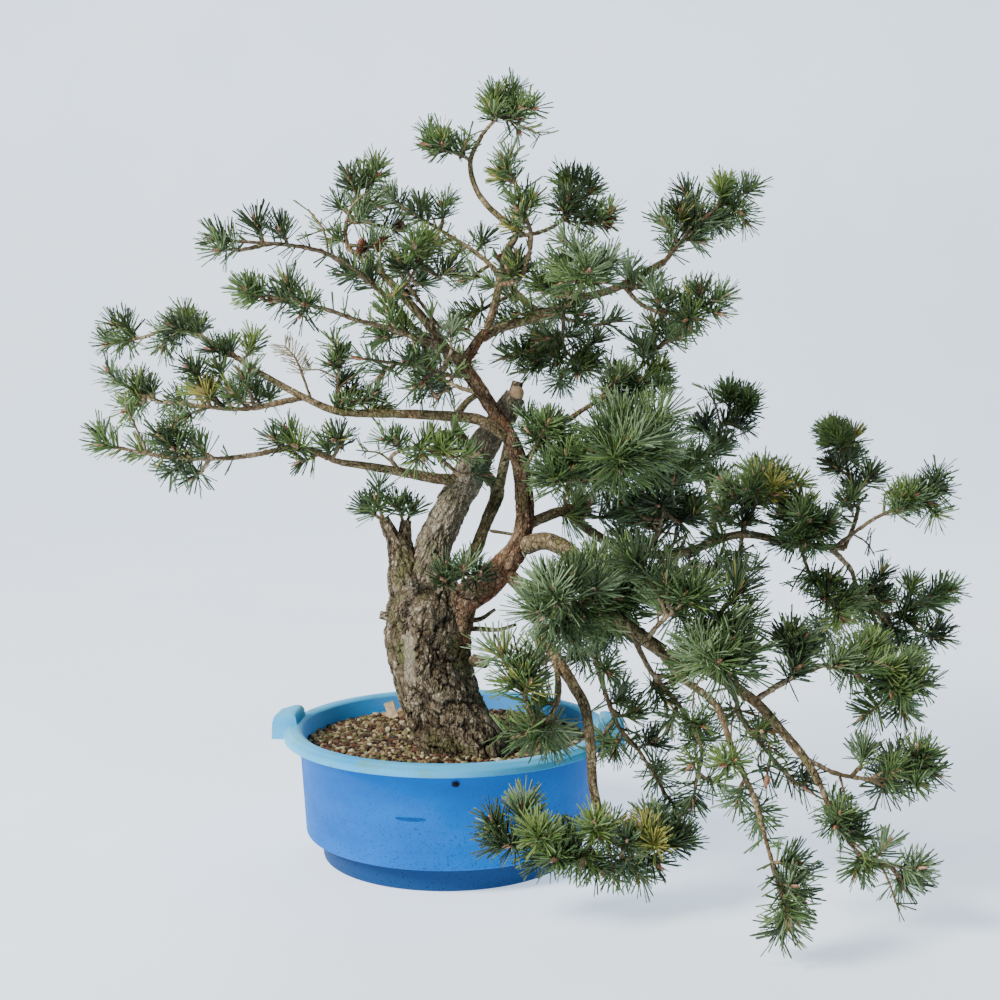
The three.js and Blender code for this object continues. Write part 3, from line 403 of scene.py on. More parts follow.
def frames_along(points):
    """Directions across and over a line that turn with it and don't twist."""
    ahead = unit(np.gradient(points, axis=0))
    across = np.empty_like(ahead)
    across[0] = perpendicular_to(ahead[0])
    for i in range(1, len(points)):
        last = across[i - 1]
        across[i] = unit(last - last.dot(ahead[i]) * ahead[i])
    return across, np.cross(ahead, across)


def tube(points, reach):
    """Rings of points round a line. reach has a row of radii for each point of the line."""
    across, over = frames_along(points)
    angles = round_angles(reach.shape[1])
    spokes = (np.cos(angles)[None, :, None] * across[:, None]
              + np.sin(angles)[None, :, None] * over[:, None])
    return points[:, None] + spokes * reach[..., None]


def tube_faces(rings, sides):
    ring, side = np.meshgrid(np.arange(rings - 1), np.arange(sides), indexing="ij")
    a = (ring * sides + side).ravel()
    b = (ring * sides + (side + 1) % sides).ravel()
    return np.concatenate([
        np.stack([a, b, b + sides], axis=1),
        np.stack([a, b + sides, a + sides], axis=1),
    ])


def closed_tube(points, reach):
    """A tube with a fan of faces over each end."""
    rings, sides = reach.shape
    skin = tube(points, reach).reshape(-1, 3)
    root = len(skin)
    side = np.arange(sides)
    after = (side + 1) % sides
    last = (rings - 1) * sides
    caps = [
        np.stack([after, side, np.full(sides, root)], axis=1),
        np.stack([last + side, last + after, np.full(sides, root + 1)], axis=1),
    ]
    faces = np.concatenate([tube_faces(rings, sides)] + caps)
    return np.vstack([skin, points[0], points[-1]]), faces


class Pile:
    """Many small shapes that are joined into one mesh."""

    def __init__(self):
        self.points = []
        self.faces = []
        self.count = 0

    def add(self, points, faces):
        self.points.append(points)
        self.faces.append(faces + self.count)
        self.count += len(points)

    def add_copies(self, points, faces):
        """points has a row for each copy of one shape."""
        copies, corners = points.shape[:2]
        starts = np.arange(copies)[:, None, None] * corners
        self.add(points.reshape(-1, 3), (faces[None] + starts).reshape(-1, 3))

    def joined(self):
        return np.concatenate(self.points), np.concatenate(self.faces)


def turned(points, angle):
    """Points turned about the tub's axis, by one angle or by one for each shape."""
    x, y, z = np.moveaxis(points, -1, 0)
    across = x * np.cos(angle) - y * np.sin(angle)
    behind = x * np.sin(angle) + y * np.cos(angle)
    return np.stack([across, behind, z], axis=-1)


def mesh_piece(name, shape, materials, slots=None, smooth=True):
    """A mesh object from a shape's points, in millimetres, and its triangles."""
    points, faces = shape
    mesh = bpy.data.meshes.new(name)
    mesh.vertices.add(len(points))
    mesh.vertices.foreach_set("co", (points * MM).astype(np.float32).ravel())
    mesh.loops.add(faces.size)
    mesh.loops.foreach_set("vertex_index", faces.astype(np.int32).ravel())
    mesh.polygons.add(len(faces))
    mesh.polygons.foreach_set("loop_start", np.arange(0, faces.size, 3, dtype=np.int32))
    for material in materials:
        mesh.materials.append(material)
    if slots is not None:
        mesh.polygons.foreach_set("material_index", slots.astype(np.int32))
    mesh.polygons.foreach_set("use_smooth", np.full(len(faces), smooth))
    mesh.update(calc_edges=True)
    piece = bpy.data.objects.new(name, mesh)
    bpy.context.scene.collection.objects.link(piece)
    return piece


def belongs(piece, slot, *nodes):
    """Every piece rides on the one body and stands in for nodes of the frame."""
    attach(piece, "root")
    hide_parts(*nodes)


# Noise and bark relief

def waves(points, size, seed, count=9):
    """A smooth uneven field from about -1 to 1, with bumps of about the given size."""
    rng = np.random.default_rng(seed)
    headings = unit(rng.normal(size=(count, 3)))
    pace = 2 * np.pi / size * rng.uniform(0.6, 1.5, count)
    phase = rng.uniform(0, 2 * np.pi, count)
    return np.sin(points @ (headings * pace[:, None]).T + phase).sum(axis=-1) / (0.6 * count)


def smooth_step(low, high, value):
    t = np.clip((value - low) / (high - low), 0, 1)
    return t * t * (3 - 2 * t)


def cells(round_place, along_place, around, seed):
    """For places on a sheet of uneven cells that closes round a limb: how far each is from
    its cell's edge, a number from 0 to 1 for each cell, and how far it lies past its middle."""
    rng = np.random.default_rng(seed)
    low = math.floor(along_place.min()) - 1
    rows = math.floor(along_place.max()) - low + 3
    jitter = rng.random((around, rows, 2))
    tones = rng.random((around, rows))
    column = np.floor(round_place).astype(int)
    row = np.floor(along_place).astype(int)
    nearest = np.full(round_place.shape, 9.0)
    second = np.full(round_place.shape, 9.0)
    tone = np.zeros(round_place.shape)
    past = np.zeros(round_place.shape)
    for right in (-1, 0, 1):
        for up in (-1, 0, 1):
            c = column + right
            r = row + up
            place = jitter[c % around, r - low]
            beyond = along_place - r - place[..., 1]
            away = np.hypot(c + place[..., 0] - round_place, beyond)
            closer = away < nearest
            second = np.where(closer, nearest, np.minimum(second, away))
            tone = np.where(closer, tones[c % around, r - low], tone)
            past = np.where(closer, beyond, past)
            nearest = np.where(closer, away, nearest)
    return second - nearest, tone, past


# Materials

def shade(red, green, blue):
    """A screen colour, from 0 to 255, as the linear colour that a shader takes."""
    def linear(level):
        level = level / 255
        return level / 12.92 if level <= 0.04045 else ((level + 0.055) / 1.055) ** 2.4
    return (linear(red), linear(green), linear(blue), 1.0)


class Recipe:
    """The nodes of one material, round one Principled shader."""

    def __init__(self, name, roughness, gloss=0.5):
        self.material = bpy.data.materials.new(name)
        self.material.use_nodes = True
        self.tree = self.material.node_tree
        self.shader = self.tree.nodes["Principled BSDF"]
        self.shader.inputs["Roughness"].default_value = roughness
        self.shader.inputs["Specular IOR Level"].default_value = gloss
        self.place = self.node("ShaderNodeTexCoord").outputs["Object"]

    def node(self, kind, **settings):
        node = self.tree.nodes.new(kind)
        for key, value in settings.items():
            setattr(node, key, value)
        return node

    def set(self, socket, value):
        """Feeds a socket from another one, or with a number or a screen colour."""
        if isinstance(value, bpy.types.NodeSocket):
            self.tree.links.new(value, socket)
        else:
            socket.default_value = shade(*value) if isinstance(value, tuple) else value

    def stretched(self, place, stretch):
        mapping = self.node("ShaderNodeMapping")
        mapping.inputs["Scale"].default_value = stretch
        self.set(mapping.inputs["Vector"], place)
        return mapping.outputs["Vector"]

    def texture(self, kind, place, scale, **settings):
        texture = self.node(kind, **settings)
        self.set(texture.inputs["Vector"], place)
        texture.inputs["Scale"].default_value = scale
        return texture

    def noise(self, scale, detail=4.0, stretch=(1, 1, 1)):
        noise = self.texture("ShaderNodeTexNoise", self.stretched(self.place, stretch), scale)
        noise.inputs["Detail"].default_value = detail
        return noise.outputs["Fac"]

    def dots(self, scale, radius):
        """1 inside small round dots that are scattered unevenly, and 0 elsewhere."""
        spots = self.texture("ShaderNodeTexVoronoi", self.place, scale)
        return self.ramp(spots.outputs["Distance"], radius * 0.7, radius, 1, 0)

    def scales(self, scale, stretch):
        """Small uneven scales: how near a place is to its scale's edge, and each one's tone."""
        bend = self.texture("ShaderNodeTexNoise", self.place, 90)
        place = self.stretched(self.mix(0.01, self.place, bend.outputs["Color"], "ADD"), stretch)
        edge = self.texture("ShaderNodeTexVoronoi", place, scale, feature="DISTANCE_TO_EDGE")
        cell = self.texture("ShaderNodeTexVoronoi", place, scale)
        return self.ramp(edge.outputs["Distance"], 0, 0.12, 1, 0), cell.outputs["Color"]

    def attribute(self, name):
        return self.node("ShaderNodeAttribute", attribute_name=name).outputs["Fac"]

    def height(self):
        split = self.node("ShaderNodeSeparateXYZ")
        self.set(split.inputs["Vector"], self.place)
        return split.outputs["Z"]

    def ramp(self, factor, low, high, first=0, last=1):
        """A factor that runs from one grey to another between a low and a high value."""
        ramp = self.node("ShaderNodeValToRGB")
        for stop, value, grey in zip(ramp.color_ramp.elements, (low, high), (first, last)):
            stop.position = value
            stop.color = (grey, grey, grey, 1)
        self.set(ramp.inputs["Fac"], factor)
        return ramp.outputs["Color"]

    def mix(self, factor, first, second, blend="MIX"):
        mix = self.node("ShaderNodeMix", data_type="RGBA", blend_type=blend)
        self.set(mix.inputs["Factor"], factor)
        self.set(mix.inputs[6], first)
        self.set(mix.inputs[7], second)
        return mix.outputs[2]

    def maths(self, operation, first, second):
        maths = self.node("ShaderNodeMath", operation=operation)
        self.set(maths.inputs[0], first)
        self.set(maths.inputs[1], second)
        return maths.outputs[0]

    def plus(self, first, second, share):
        """One factor and a share of another."""
        return self.maths("ADD", first, self.maths("MULTIPLY", second, share))

    def coloured(self, colour):
        self.set(self.shader.inputs["Base Color"], colour)
        return self

    def rough(self, low, high, factor):
        value = self.node("ShaderNodeMapRange")
        self.set(value.inputs["Value"], factor)
        value.inputs["To Min"].default_value = low
        value.inputs["To Max"].default_value = high
        self.set(self.shader.inputs["Roughness"], value.outputs["Result"])
        return self

    def bumpy(self, height, distance):
        bump = self.node("ShaderNodeBump")
        bump.inputs["Distance"].default_value = distance
        self.set(bump.inputs["Height"], height)
        self.set(self.shader.inputs["Normal"], bump.outputs["Normal"])
        return self


def bark_material(name, crack, dark, light, flake, moss, moss_from, rust_and_shade, rust_share):
    """Bark whose cracks are darker, with paler flakes, patches of moss and bare places."""
    recipe = Recipe(name, 0.92, 0.2)
    edges, scale_tone = recipe.scales(170, (1, 1, 0.6))
    tone = recipe.plus(recipe.maths("MULTIPLY", recipe.attribute("tone"), 0.6), scale_tone, 0.4)
    broad = recipe.plus(recipe.noise(45, 5), tone, 0.5)
    plates = recipe.mix(recipe.ramp(broad, 0.55, 0.95), dark, light)
    pale = recipe.plus(recipe.noise(260, 4), tone, 0.35)
    flakes = recipe.mix(recipe.ramp(pale, 0.74, 0.86), plates, flake)
    fresh = recipe.ramp(recipe.noise(40, 5, (1, 1, 0.6)), 0.55, 0.66, 0, rust_share)
    rusty_and_shaded = recipe.mix(fresh, flakes, rust_and_shade)
    # The marked red: red streaks on the trunk, and on the red limb its low right side, the bark's own red
    # deepened as painted shade.
    rusty_and_shaded = recipe.mix(recipe.attribute("rust_and_shade"), rusty_and_shaded, rust_and_shade)
    patches = recipe.ramp(recipe.noise(30, 6), moss_from, moss_from + 0.09, 0, 0.7)
    mossy = recipe.mix(patches, rusty_and_shaded, moss)
    depth = recipe.ramp(recipe.attribute("relief"), 0.05, 0.6, 1, 0)
    seams = recipe.maths("MULTIPLY", edges, 0.6)
    bark = recipe.mix(recipe.maths("MAXIMUM", depth, seams), mossy, crack)
    recipe.coloured(recipe.mix(recipe.attribute("bare"), bark, flake))
    return recipe.bumpy(recipe.plus(recipe.noise(620, 4), edges, -0.7), 0.0016).material


def plastic_material(name, base, faded, dirt, dirt_from, speckle, foot=None):
    """Weathered plastic: faded unevenly, with dirt in patches and small dark specks.
    foot is a darker colour painted below the step at the tub's foot: painted shade."""
    recipe = Recipe(name, 0.4, 0.1)
    fading = recipe.ramp(recipe.noise(9, 3, (1, 1, 2.5)), 0.3, 0.75)
    colour = recipe.mix(fading, base, faded)
    dirty = recipe.ramp(recipe.noise(34, 6), dirt_from, dirt_from + 0.14, 0, 0.7)
    colour = recipe.mix(dirty, colour, dirt)
    # Below the step the foot takes a darker blue: painted shade where the foot sits low.
    if foot:
        painted_foot_shade = recipe.ramp(recipe.maths("MULTIPLY", recipe.height(), 10), 0.27, 0.29, 1, 0)
        colour = recipe.mix(painted_foot_shade, colour, foot)
    low = recipe.ramp(recipe.maths("MULTIPLY", recipe.height(), 7), 0.15, 0.9, 1, 0.3)
    for scale, radius in ((190, 0.15), (420, 0.22)):
        specks = recipe.maths("MULTIPLY", recipe.dots(scale, radius), low)
        colour = recipe.mix(specks, colour, speckle)
    recipe.coloured(colour)
    recipe.rough(0.45, 0.7, recipe.noise(60, 4))
    return recipe.bumpy(recipe.noise(420, 2), 0.00015).material


def tinted_material(name, dark, light, roughness, gloss, grain, bump):
    """A plain tint that wavers between two near shades."""
    recipe = Recipe(name, roughness, gloss)
    recipe.coloured(recipe.mix(recipe.ramp(recipe.noise(grain, 3), 0.4, 0.6), dark, light))
    return recipe.bumpy(recipe.noise(grain * 12, 2), bump).material


TRUNK_BARK = bark_material(
    "trunk_bark", (36, 28, 20), (100, 86, 65), (152, 137, 112), (188, 176, 153), (96, 98, 57), 0.53,
    (118, 70, 48), 0)
RED_BARK = bark_material(
    "red_bark", (48, 32, 24), (106, 84, 62), (152, 126, 98), (186, 164, 136), (104, 98, 60), 0.56,
    (136, 76, 50), 0.25)
MOSSY_BARK = bark_material(
    "mossy_bark", (52, 46, 30), (112, 102, 72), (152, 140, 106), (184, 170, 136), (104, 106, 60), 0.52,
    (120, 84, 50), 0)
YOUNG_BARK = bark_material(
    "young_bark", (70, 56, 38), (118, 103, 75), (158, 141, 108), (188, 172, 140), (110, 108, 66), 0.54,
    (146, 100, 70), 0.3)
TWIG_BARK = bark_material(
    "twig_bark", (76, 60, 44), (116, 98, 72), (160, 140, 110), (188, 170, 140), (110, 108, 72), 0.62,
    (136, 98, 70), 0.4)
CUT_WOOD = tinted_material("cut_wood", (158, 132, 100), (212, 190, 158), 0.8, 0.2, 60, 0.0006)
# The tub body's last colour, the darker blue below the foot's step, is painted shade.
TUB_BODY = plastic_material(
    "tub_body", (0, 94, 180), (0, 116, 208), (16, 100, 164), 0.68, (24, 34, 54), (28, 70, 120))
TUB_LIP = plastic_material(
    "tub_lip", (34, 166, 230), (104, 202, 242), (118, 166, 134), 0.56, (84, 116, 112))
# The inside wall is painted a lighter blue than the body: painted light, since the lamps reach little into
# the tub.
TUB_INSIDE_LIT = plastic_material(
    "tub_inside_lit", (46, 140, 226), (84, 170, 236), (96, 136, 140), 0.62, (40, 70, 104))
# A darker blue for the moulded slit and the water hole's rim: painted shade in these recesses.
TUB_RECESS_SHADE = tinted_material("tub_recess_shade", (0, 62, 132), (0, 76, 154), 0.6, 0.1, 80, 0.0002)
# Dark soil, made darker as painted shade in the gaps between the grains.
SOIL_BED_AND_GAP_SHADE = tinted_material("soil_bed_and_gap_shade", (36, 26, 18), (62, 46, 32), 0.95, 0.1, 120, 0.002)


# Tub: wall, lip, lug handles

TUB_SIDES = 160
# Where the wall turns out into the lip, and how low a lug's hood hangs
WALL_TOP = LIP_TOP - 7
LUG_FOOT = LIP_TOP - LIP_SKIRT - 5
SLIT_TURN = -102
SLIT_HEIGHT = 84
SLIT_WIDTH = 33


def lathe(profile, sides):
    """A shape turned from a profile of radius and height, and each face's profile step."""
    angles = round_angles(sides)
    outline = np.array(profile, float)
    points = np.stack([
        outline[:, 0, None] * np.cos(angles),
        outline[:, 0, None] * np.sin(angles),
        np.repeat(outline[:, 1, None], sides, axis=1),
    ], axis=-1)
    faces = tube_faces(len(outline), sides)[:, ::-1]
    steps = np.tile(np.repeat(np.arange(len(outline) - 1), sides), 2)
    return (points.reshape(-1, 3), faces), steps


def rounded(corner, before, after, radius, steps=4):
    """Points that round a corner off between its neighbours."""
    corner, before, after = (np.array(place, float) for place in (corner, before, after))
    start = corner + unit(before - corner) * radius
    end = corner + unit(after - corner) * radius
    return [
        tuple((1 - t) ** 2 * start + 2 * t * (1 - t) * corner + t**2 * end)
        for t in np.linspace(0, 1, steps + 1)
    ]


def softened(profile, radii):
    """A profile with each inner corner rounded by its own radius."""
    soft = [profile[0]]
    for i in range(1, len(profile) - 1):
        soft += rounded(profile[i], profile[i - 1], profile[i + 1], radii[i])
    return soft + [profile[-1]]


def build_tub():
    skirt = LIP_TOP - LIP_SKIRT
    outside = softened(
        [(0, 0), (FOOT_RADIUS, 0), (FOOT_RADIUS + 3, FOOT_HEIGHT - 1), (BODY_BOTTOM_RADIUS, FOOT_HEIGHT),
         (BODY_TOP_RADIUS, WALL_TOP)],
        [0, 3, 2.5, 4, 0])
    lip = softened(
        [(BODY_TOP_RADIUS, WALL_TOP), (LIP_RADIUS - TUB_WALL, WALL_TOP),
         (LIP_RADIUS - TUB_WALL, skirt), (LIP_RADIUS, skirt), (LIP_RADIUS, LIP_TOP - 5),
         (LIP_RADIUS - 4, LIP_TOP - 2.5), (LIP_RADIUS - 6, LIP_TOP - 0.5),
         (BODY_TOP_RADIUS + 3, LIP_TOP), (BODY_TOP_RADIUS - TUB_WALL, LIP_TOP - 3)],
        [0, 1.5, 1.2, 1.2, 1.5, 1.2, 1.2, 2.2, 0])
    inside = (BODY_BOTTOM_RADIUS - TUB_WALL, FOOT_HEIGHT + TUB_WALL)
    shape, steps = lathe(outside + lip[1:] + [inside], TUB_SIDES)
    slots = np.where(steps < len(outside) - 1, 0, np.where(steps < len(outside) + len(lip) - 2, 1, 2))
    belongs(mesh_piece("tub_shell", shape, [TUB_BODY, TUB_LIP, TUB_INSIDE_LIT], slots), "tub", "tub")


def lug_arc(width_share):
    """The hood's outline at one place across its width. It sinks towards both ends."""
    outer = LIP_RADIUS + LUG_REACH
    top = LIP_TOP + LUG_RISE
    drop = 3.5 * max(0.0, abs(width_share) - 0.7) / 0.3
    return softened(
        [(BODY_TOP_RADIUS + 1, LIP_TOP - 4), (BODY_TOP_RADIUS + 3, top - 1 - drop),
         (BODY_TOP_RADIUS + 10, top - drop), (outer - 2.5, top - 6 - drop),
         (outer - drop * 0.4, LUG_FOOT)],
        [0, 3, 3, 3.5, 0])


def build_lug(name, turn):
    """One lug: a hood of even thickness, with a cheek closing each end."""
    shares = np.linspace(-1, 1, 15)
    hood = []
    for share in shares:
        arc = np.array(lug_arc(share))
        normal = np.gradient(arc, axis=0)
        inward = unit(np.stack([normal[:, 1], -normal[:, 0]], axis=1))
        inner = arc + inward * (TUB_WALL - 0.5)
        ring = np.concatenate([arc, inner[::-1]])
        across = np.full(len(ring), share * LUG_WIDTH / 2)
        hood.append(np.stack([ring[:, 0], across, ring[:, 1]], axis=1))
    skin = np.array(hood)
    sides = skin.shape[1]
    pile = Pile()
    pile.add(skin.reshape(-1, 3), tube_faces(len(shares), sides))
    half = sides // 2
    for end, flip in ((0, 1), (len(shares) - 1, -1)):
        for inset in (0, TUB_WALL * flip):
            rim = skin[end].copy()
            rim[:, 1] += inset
            sheet = np.vstack([rim[:half], [[LIP_RADIUS - 2, rim[0, 1], LUG_FOOT]]])
            fan = [[half, i, i + 1] for i in range(half - 1)]
            pile.add(sheet, np.array(fan))
    points, faces = pile.joined()
    belongs(mesh_piece(name, (turned(points, math.radians(turn)), faces), [TUB_LIP]), "tub", "tub")


def wall_patch(name, turn, height, width, tall, sag, material):
    """A flat lens of another colour on the wall, painted shade where the plastic is cut or dented. sag is
    how much of its height lies above its middle."""
    around = round_angles(28)
    lean = (BODY_TOP_RADIUS - BODY_BOTTOM_RADIUS) / (WALL_TOP - FOOT_HEIGHT)
    radius = BODY_BOTTOM_RADIUS + (height - FOOT_HEIGHT) * lean + 0.4
    up = np.sin(around) * tall * np.where(np.sin(around) > 0, sag, 1 - sag)
    ring = np.stack([radius + up * lean, np.zeros(len(up)), height + up], axis=1)
    ring = turned(ring, np.cos(around) * width / 2 / radius)
    side = np.arange(len(ring))
    fan = np.stack([side, (side + 1) % len(ring), np.full(len(ring), len(ring))], axis=1)
    points = turned(np.vstack([ring, [radius, 0, height]]), math.radians(turn))
    belongs(mesh_piece(name, (points, fan), [material]), "tub", "tub")


build_tub()
build_lug("lug_right", LUG_TURN)
build_lug("lug_left", LUG_TURN + 180)
# The hole is a dark disc of painted shade, standing for its shadowed inside.
WATER_HOLE_SHADE = tinted_material("water_hole", (30, 22, 16), (64, 46, 32), 0.9, 0.1, 300, 0.0004)
hole = 2 * WATER_HOLE_RADIUS
wall_patch("water_hole_rim", WATER_HOLE_TURN, WATER_HOLE_HEIGHT, hole * 1.12, hole * 0.86, 0.5, TUB_RECESS_SHADE)
wall_patch("water_hole", WATER_HOLE_TURN, WATER_HOLE_HEIGHT, hole * 0.9, hole * 0.66, 0.5, WATER_HOLE_SHADE)
wall_patch("moulded_slit", SLIT_TURN, SLIT_HEIGHT, SLIT_WIDTH, 3.4, 0.2, TUB_RECESS_SHADE)


# Gravel soil: a dark bed under loose grains of several stones, partly painted shade in the gaps between
# them, and a few wood chips

GRAIN_TINTS = {
    "tan": ((120, 102, 72), (166, 146, 108), 0.17),
    "brown": ((46, 34, 26), (84, 64, 46), 0.37),
    "red": ((88, 54, 40), (124, 82, 58), 0.16),
    "cream": ((172, 164, 126), (208, 202, 168), 0.1),
    "olive": ((84, 86, 48), (130, 130, 80), 0.2),
}
GRAINS = 5200
GRAIN_SIZE = (2.0, 4.5)
# Chips of wood on the gravel: across, behind the axis, length, width and rise
CHIPS = [
    (-70, 97, 20, 14, 0.9), (-56, 88, 15, 12, 0.7), (-96, 70, 12, 5, 0.1), (-78, 112, 10, 6, 0.2),
    (60, 96, 12, 5, 0.1), (-30, 118, 11, 6, 0.1),
]


def soil_height(radius):
    edge = BODY_TOP_RADIUS - 6
    fall = np.clip((radius - SOIL_PLATEAU_RADIUS) / (edge - SOIL_PLATEAU_RADIUS), 0, 1)
    return SOIL_TOP - SOIL_EDGE_DROP * fall


def stone_shape():
    """A rough pebble's twelve corners and twenty faces."""
    long = (1 + math.sqrt(5)) / 2
    corners = []
    for first in (-1, 1):
        for second in (-long, long):
            corners += [(0, first, second), (first, second, 0), (second, 0, first)]
    corners = unit(np.array(corners, float))
    near = np.linalg.norm(corners[:, None] - corners[None], axis=2) < 1.1
    faces = []
    for a in range(12):
        for b in range(a + 1, 12):
            for c in range(b + 1, 12):
                if near[a, b] and near[b, c] and near[a, c]:
                    out = np.cross(corners[b] - corners[a], corners[c] - corners[a])
                    faces.append((a, b, c) if out.dot(corners[a]) > 0 else (a, c, b))
    return corners, np.array(faces)


def build_soil():
    """The dark bed that rises towards the trunk, partly dark soil and partly painted shade in the gaps
    between the grains, and the grains on it by kind.
    """
    rng = np.random.default_rng(5)
    edge = BODY_TOP_RADIUS - TUB_WALL - 1.2
    rings = np.linspace(0.5, edge, 40)
    profile = [(radius, soil_height(radius) - 1.6) for radius in rings]
    (points, faces), _ = lathe([(edge, SOIL_TOP - 40)] + profile[::-1], 120)
    points[:, 2] += waves(points, 9, 3) * 0.5
    belongs(mesh_piece("soil_bed_and_gap_shade", (points, faces[:, ::-1]), [SOIL_BED_AND_GAP_SHADE]), "soil", "soil")

    corners, stone_faces = stone_shape()
    radius = np.sqrt(rng.random(GRAINS)) * (edge - 1.5)
    angle = rng.random(GRAINS) * 2 * np.pi
    size = rng.uniform(*GRAIN_SIZE, (GRAINS, 1))
    place = np.stack([
        radius * np.cos(angle), radius * np.sin(angle),
        soil_height(radius) - 1.2 + rng.random(GRAINS) * 2,
    ], axis=1)
    stretch = rng.uniform(0.65, 1.3, (GRAINS, 1, 3)) * np.array([1, 1, 0.8])
    dents = rng.uniform(0.8, 1.15, (GRAINS, 12, 1))
    spin = rng.random(GRAINS) * 2 * np.pi
    stones = place[:, None] + turned(corners * stretch * dents * size[:, None], spin[:, None])
    shares = np.cumsum([share for _, _, share in GRAIN_TINTS.values()])
    kinds = np.searchsorted(shares / shares[-1], rng.random(GRAINS))
    for kind, (tint, (dark, light, _)) in enumerate(GRAIN_TINTS.items()):
        pile = Pile()
        pile.add_copies(stones[kinds == kind], stone_faces)
        name = "gravel_" + tint
        stone = tinted_material(name, dark, light, 0.85, 0.3, 180, 0.0006)
        belongs(mesh_piece(name, pile.joined(), [stone], smooth=False), "soil", "soil")


def build_chips():
    """Pale chips of wood that lie on the gravel, most of them at the back left."""
    rng = np.random.default_rng(11)
    pile = Pile()
    for across, behind, length, width, rise in CHIPS:
        knots = np.linspace(-length / 2, length / 2, 5)
        heading = unit(np.array([-0.35 + 0.3 * rng.normal(), 0.3 * rng.normal(), rise]))
        low = soil_height(math.hypot(across, behind))
        centre = np.array([across, behind, low + length * 0.36 * rise + width * 0.3])
        reach = width * 0.56 * rng.uniform(0.85, 1.1, (5, 4))
        pile.add(*closed_tube(centre + knots[:, None] * heading, reach))
    belongs(mesh_piece("wood_chips", pile.joined(), [CUT_WOOD], smooth=False), "soil", "soil")


build_soil()
build_chips()


# Limbs with bark in relief

# Each relief's sides, ring step, cells round the limb, cell length and depth of the cracks
BOUGH_RELIEF = (32, 2.0, 8, 8, 0.32)
STUB_RELIEF = (80, 1.5, 12, 12, 1.4)
# Each bark's relief, material and slot
BOUGH_BARK = (BOUGH_RELIEF, YOUNG_BARK, "young_bark")
BARKS = {
    "trunk": ((248, 1.3, 36, 13, 2.3), TRUNK_BARK, "bark"),
    "red_limb": ((96, 1.4, 12, 11, 1.0), RED_BARK, "red_bark"),
    "mossy_limb": ((56, 1.6, 9, 9, 0.7), MOSSY_BARK, "bark"),
}
FURROW_STRETCH = 0.3
# The heights between which the trunk's bark is painted paler upwards: partly the upper bark's own paler
# grey, partly painted light on the upper trunk in the crown's shade
PALE_FROM = 270
PALE_TO = 380

routes = {}


def route_from(parent, knot, places):
    """The knots of a limb, which begin at a knot of its parent's route if it has one."""
    knots = [sighted(place) for place in places]
    if parent:
        knots.insert(0, routes[parent].at(knot / routes[parent].spans))
    return knots


def bark_sheet(angles, run, wide):
    """Places on an even cylinder for the bark's waves, squeezed so that they run lengthwise."""
    return np.stack(np.broadcast_arrays(
        wide * np.cos(angles), wide * np.sin(angles), run[:, None] * FURROW_STRETCH), axis=-1)


def plate_relief(sheet, around, along, relief, seed):
    """How far each place of the bark stands out, its depth and its tone, both from 0 to 1."""
    _, _, cells_round, cell_length, depth = relief
    around, along = np.broadcast_arrays(around, along)
    warp_round = 0.5 * waves(sheet, cell_length * 1.4, seed) + 0.2 * waves(sheet, cell_length / 3, seed + 1)
    warp_along = 0.6 * waves(sheet, cell_length, seed + 2) + 0.2 * waves(sheet, cell_length / 3, seed + 3)
    edge, tone, past = cells(
        around * cells_round + warp_round, along / cell_length + warp_along, cells_round, seed)
    fine_edge, fine_tone, fine_past = cells(
        around * cells_round * 2 + warp_round * 3, along / cell_length * 2.6 + warp_along * 3,
        cells_round * 2, seed + 4)
    crack = (1 - smooth_step(0.02, 0.22, edge)) * smooth_step(-0.9, 0.5, waves(sheet, cell_length, seed + 5))
    fine_crack = (1 - smooth_step(0.02, 0.25, fine_edge)) * 0.5
    furrow = 1 - smooth_step(0, 0.3, np.abs(waves(sheet, cell_length * 1.5, seed + 6)))
    out = depth * (0.9 * (tone - 0.5) - crack - 0.5 * past - 0.8 * furrow)
    out += 0.4 * depth * (fine_tone - 0.5 - fine_crack - 0.6 * fine_past)
    height = np.clip(1 - np.maximum(crack, 0.7 * furrow) - fine_crack, 0, 1)
    return out, height, 0.55 * tone + 0.45 * fine_tone


def mark(piece, name, values):
    """A number for each point of a mesh, for its material to read."""
    attribute = piece.data.attributes.new(name, "FLOAT", "POINT")
    whole = np.zeros(len(piece.data.vertices), np.float32)
    whole[:values.size] = values.ravel()
    attribute.data.foreach_set("value", whole)


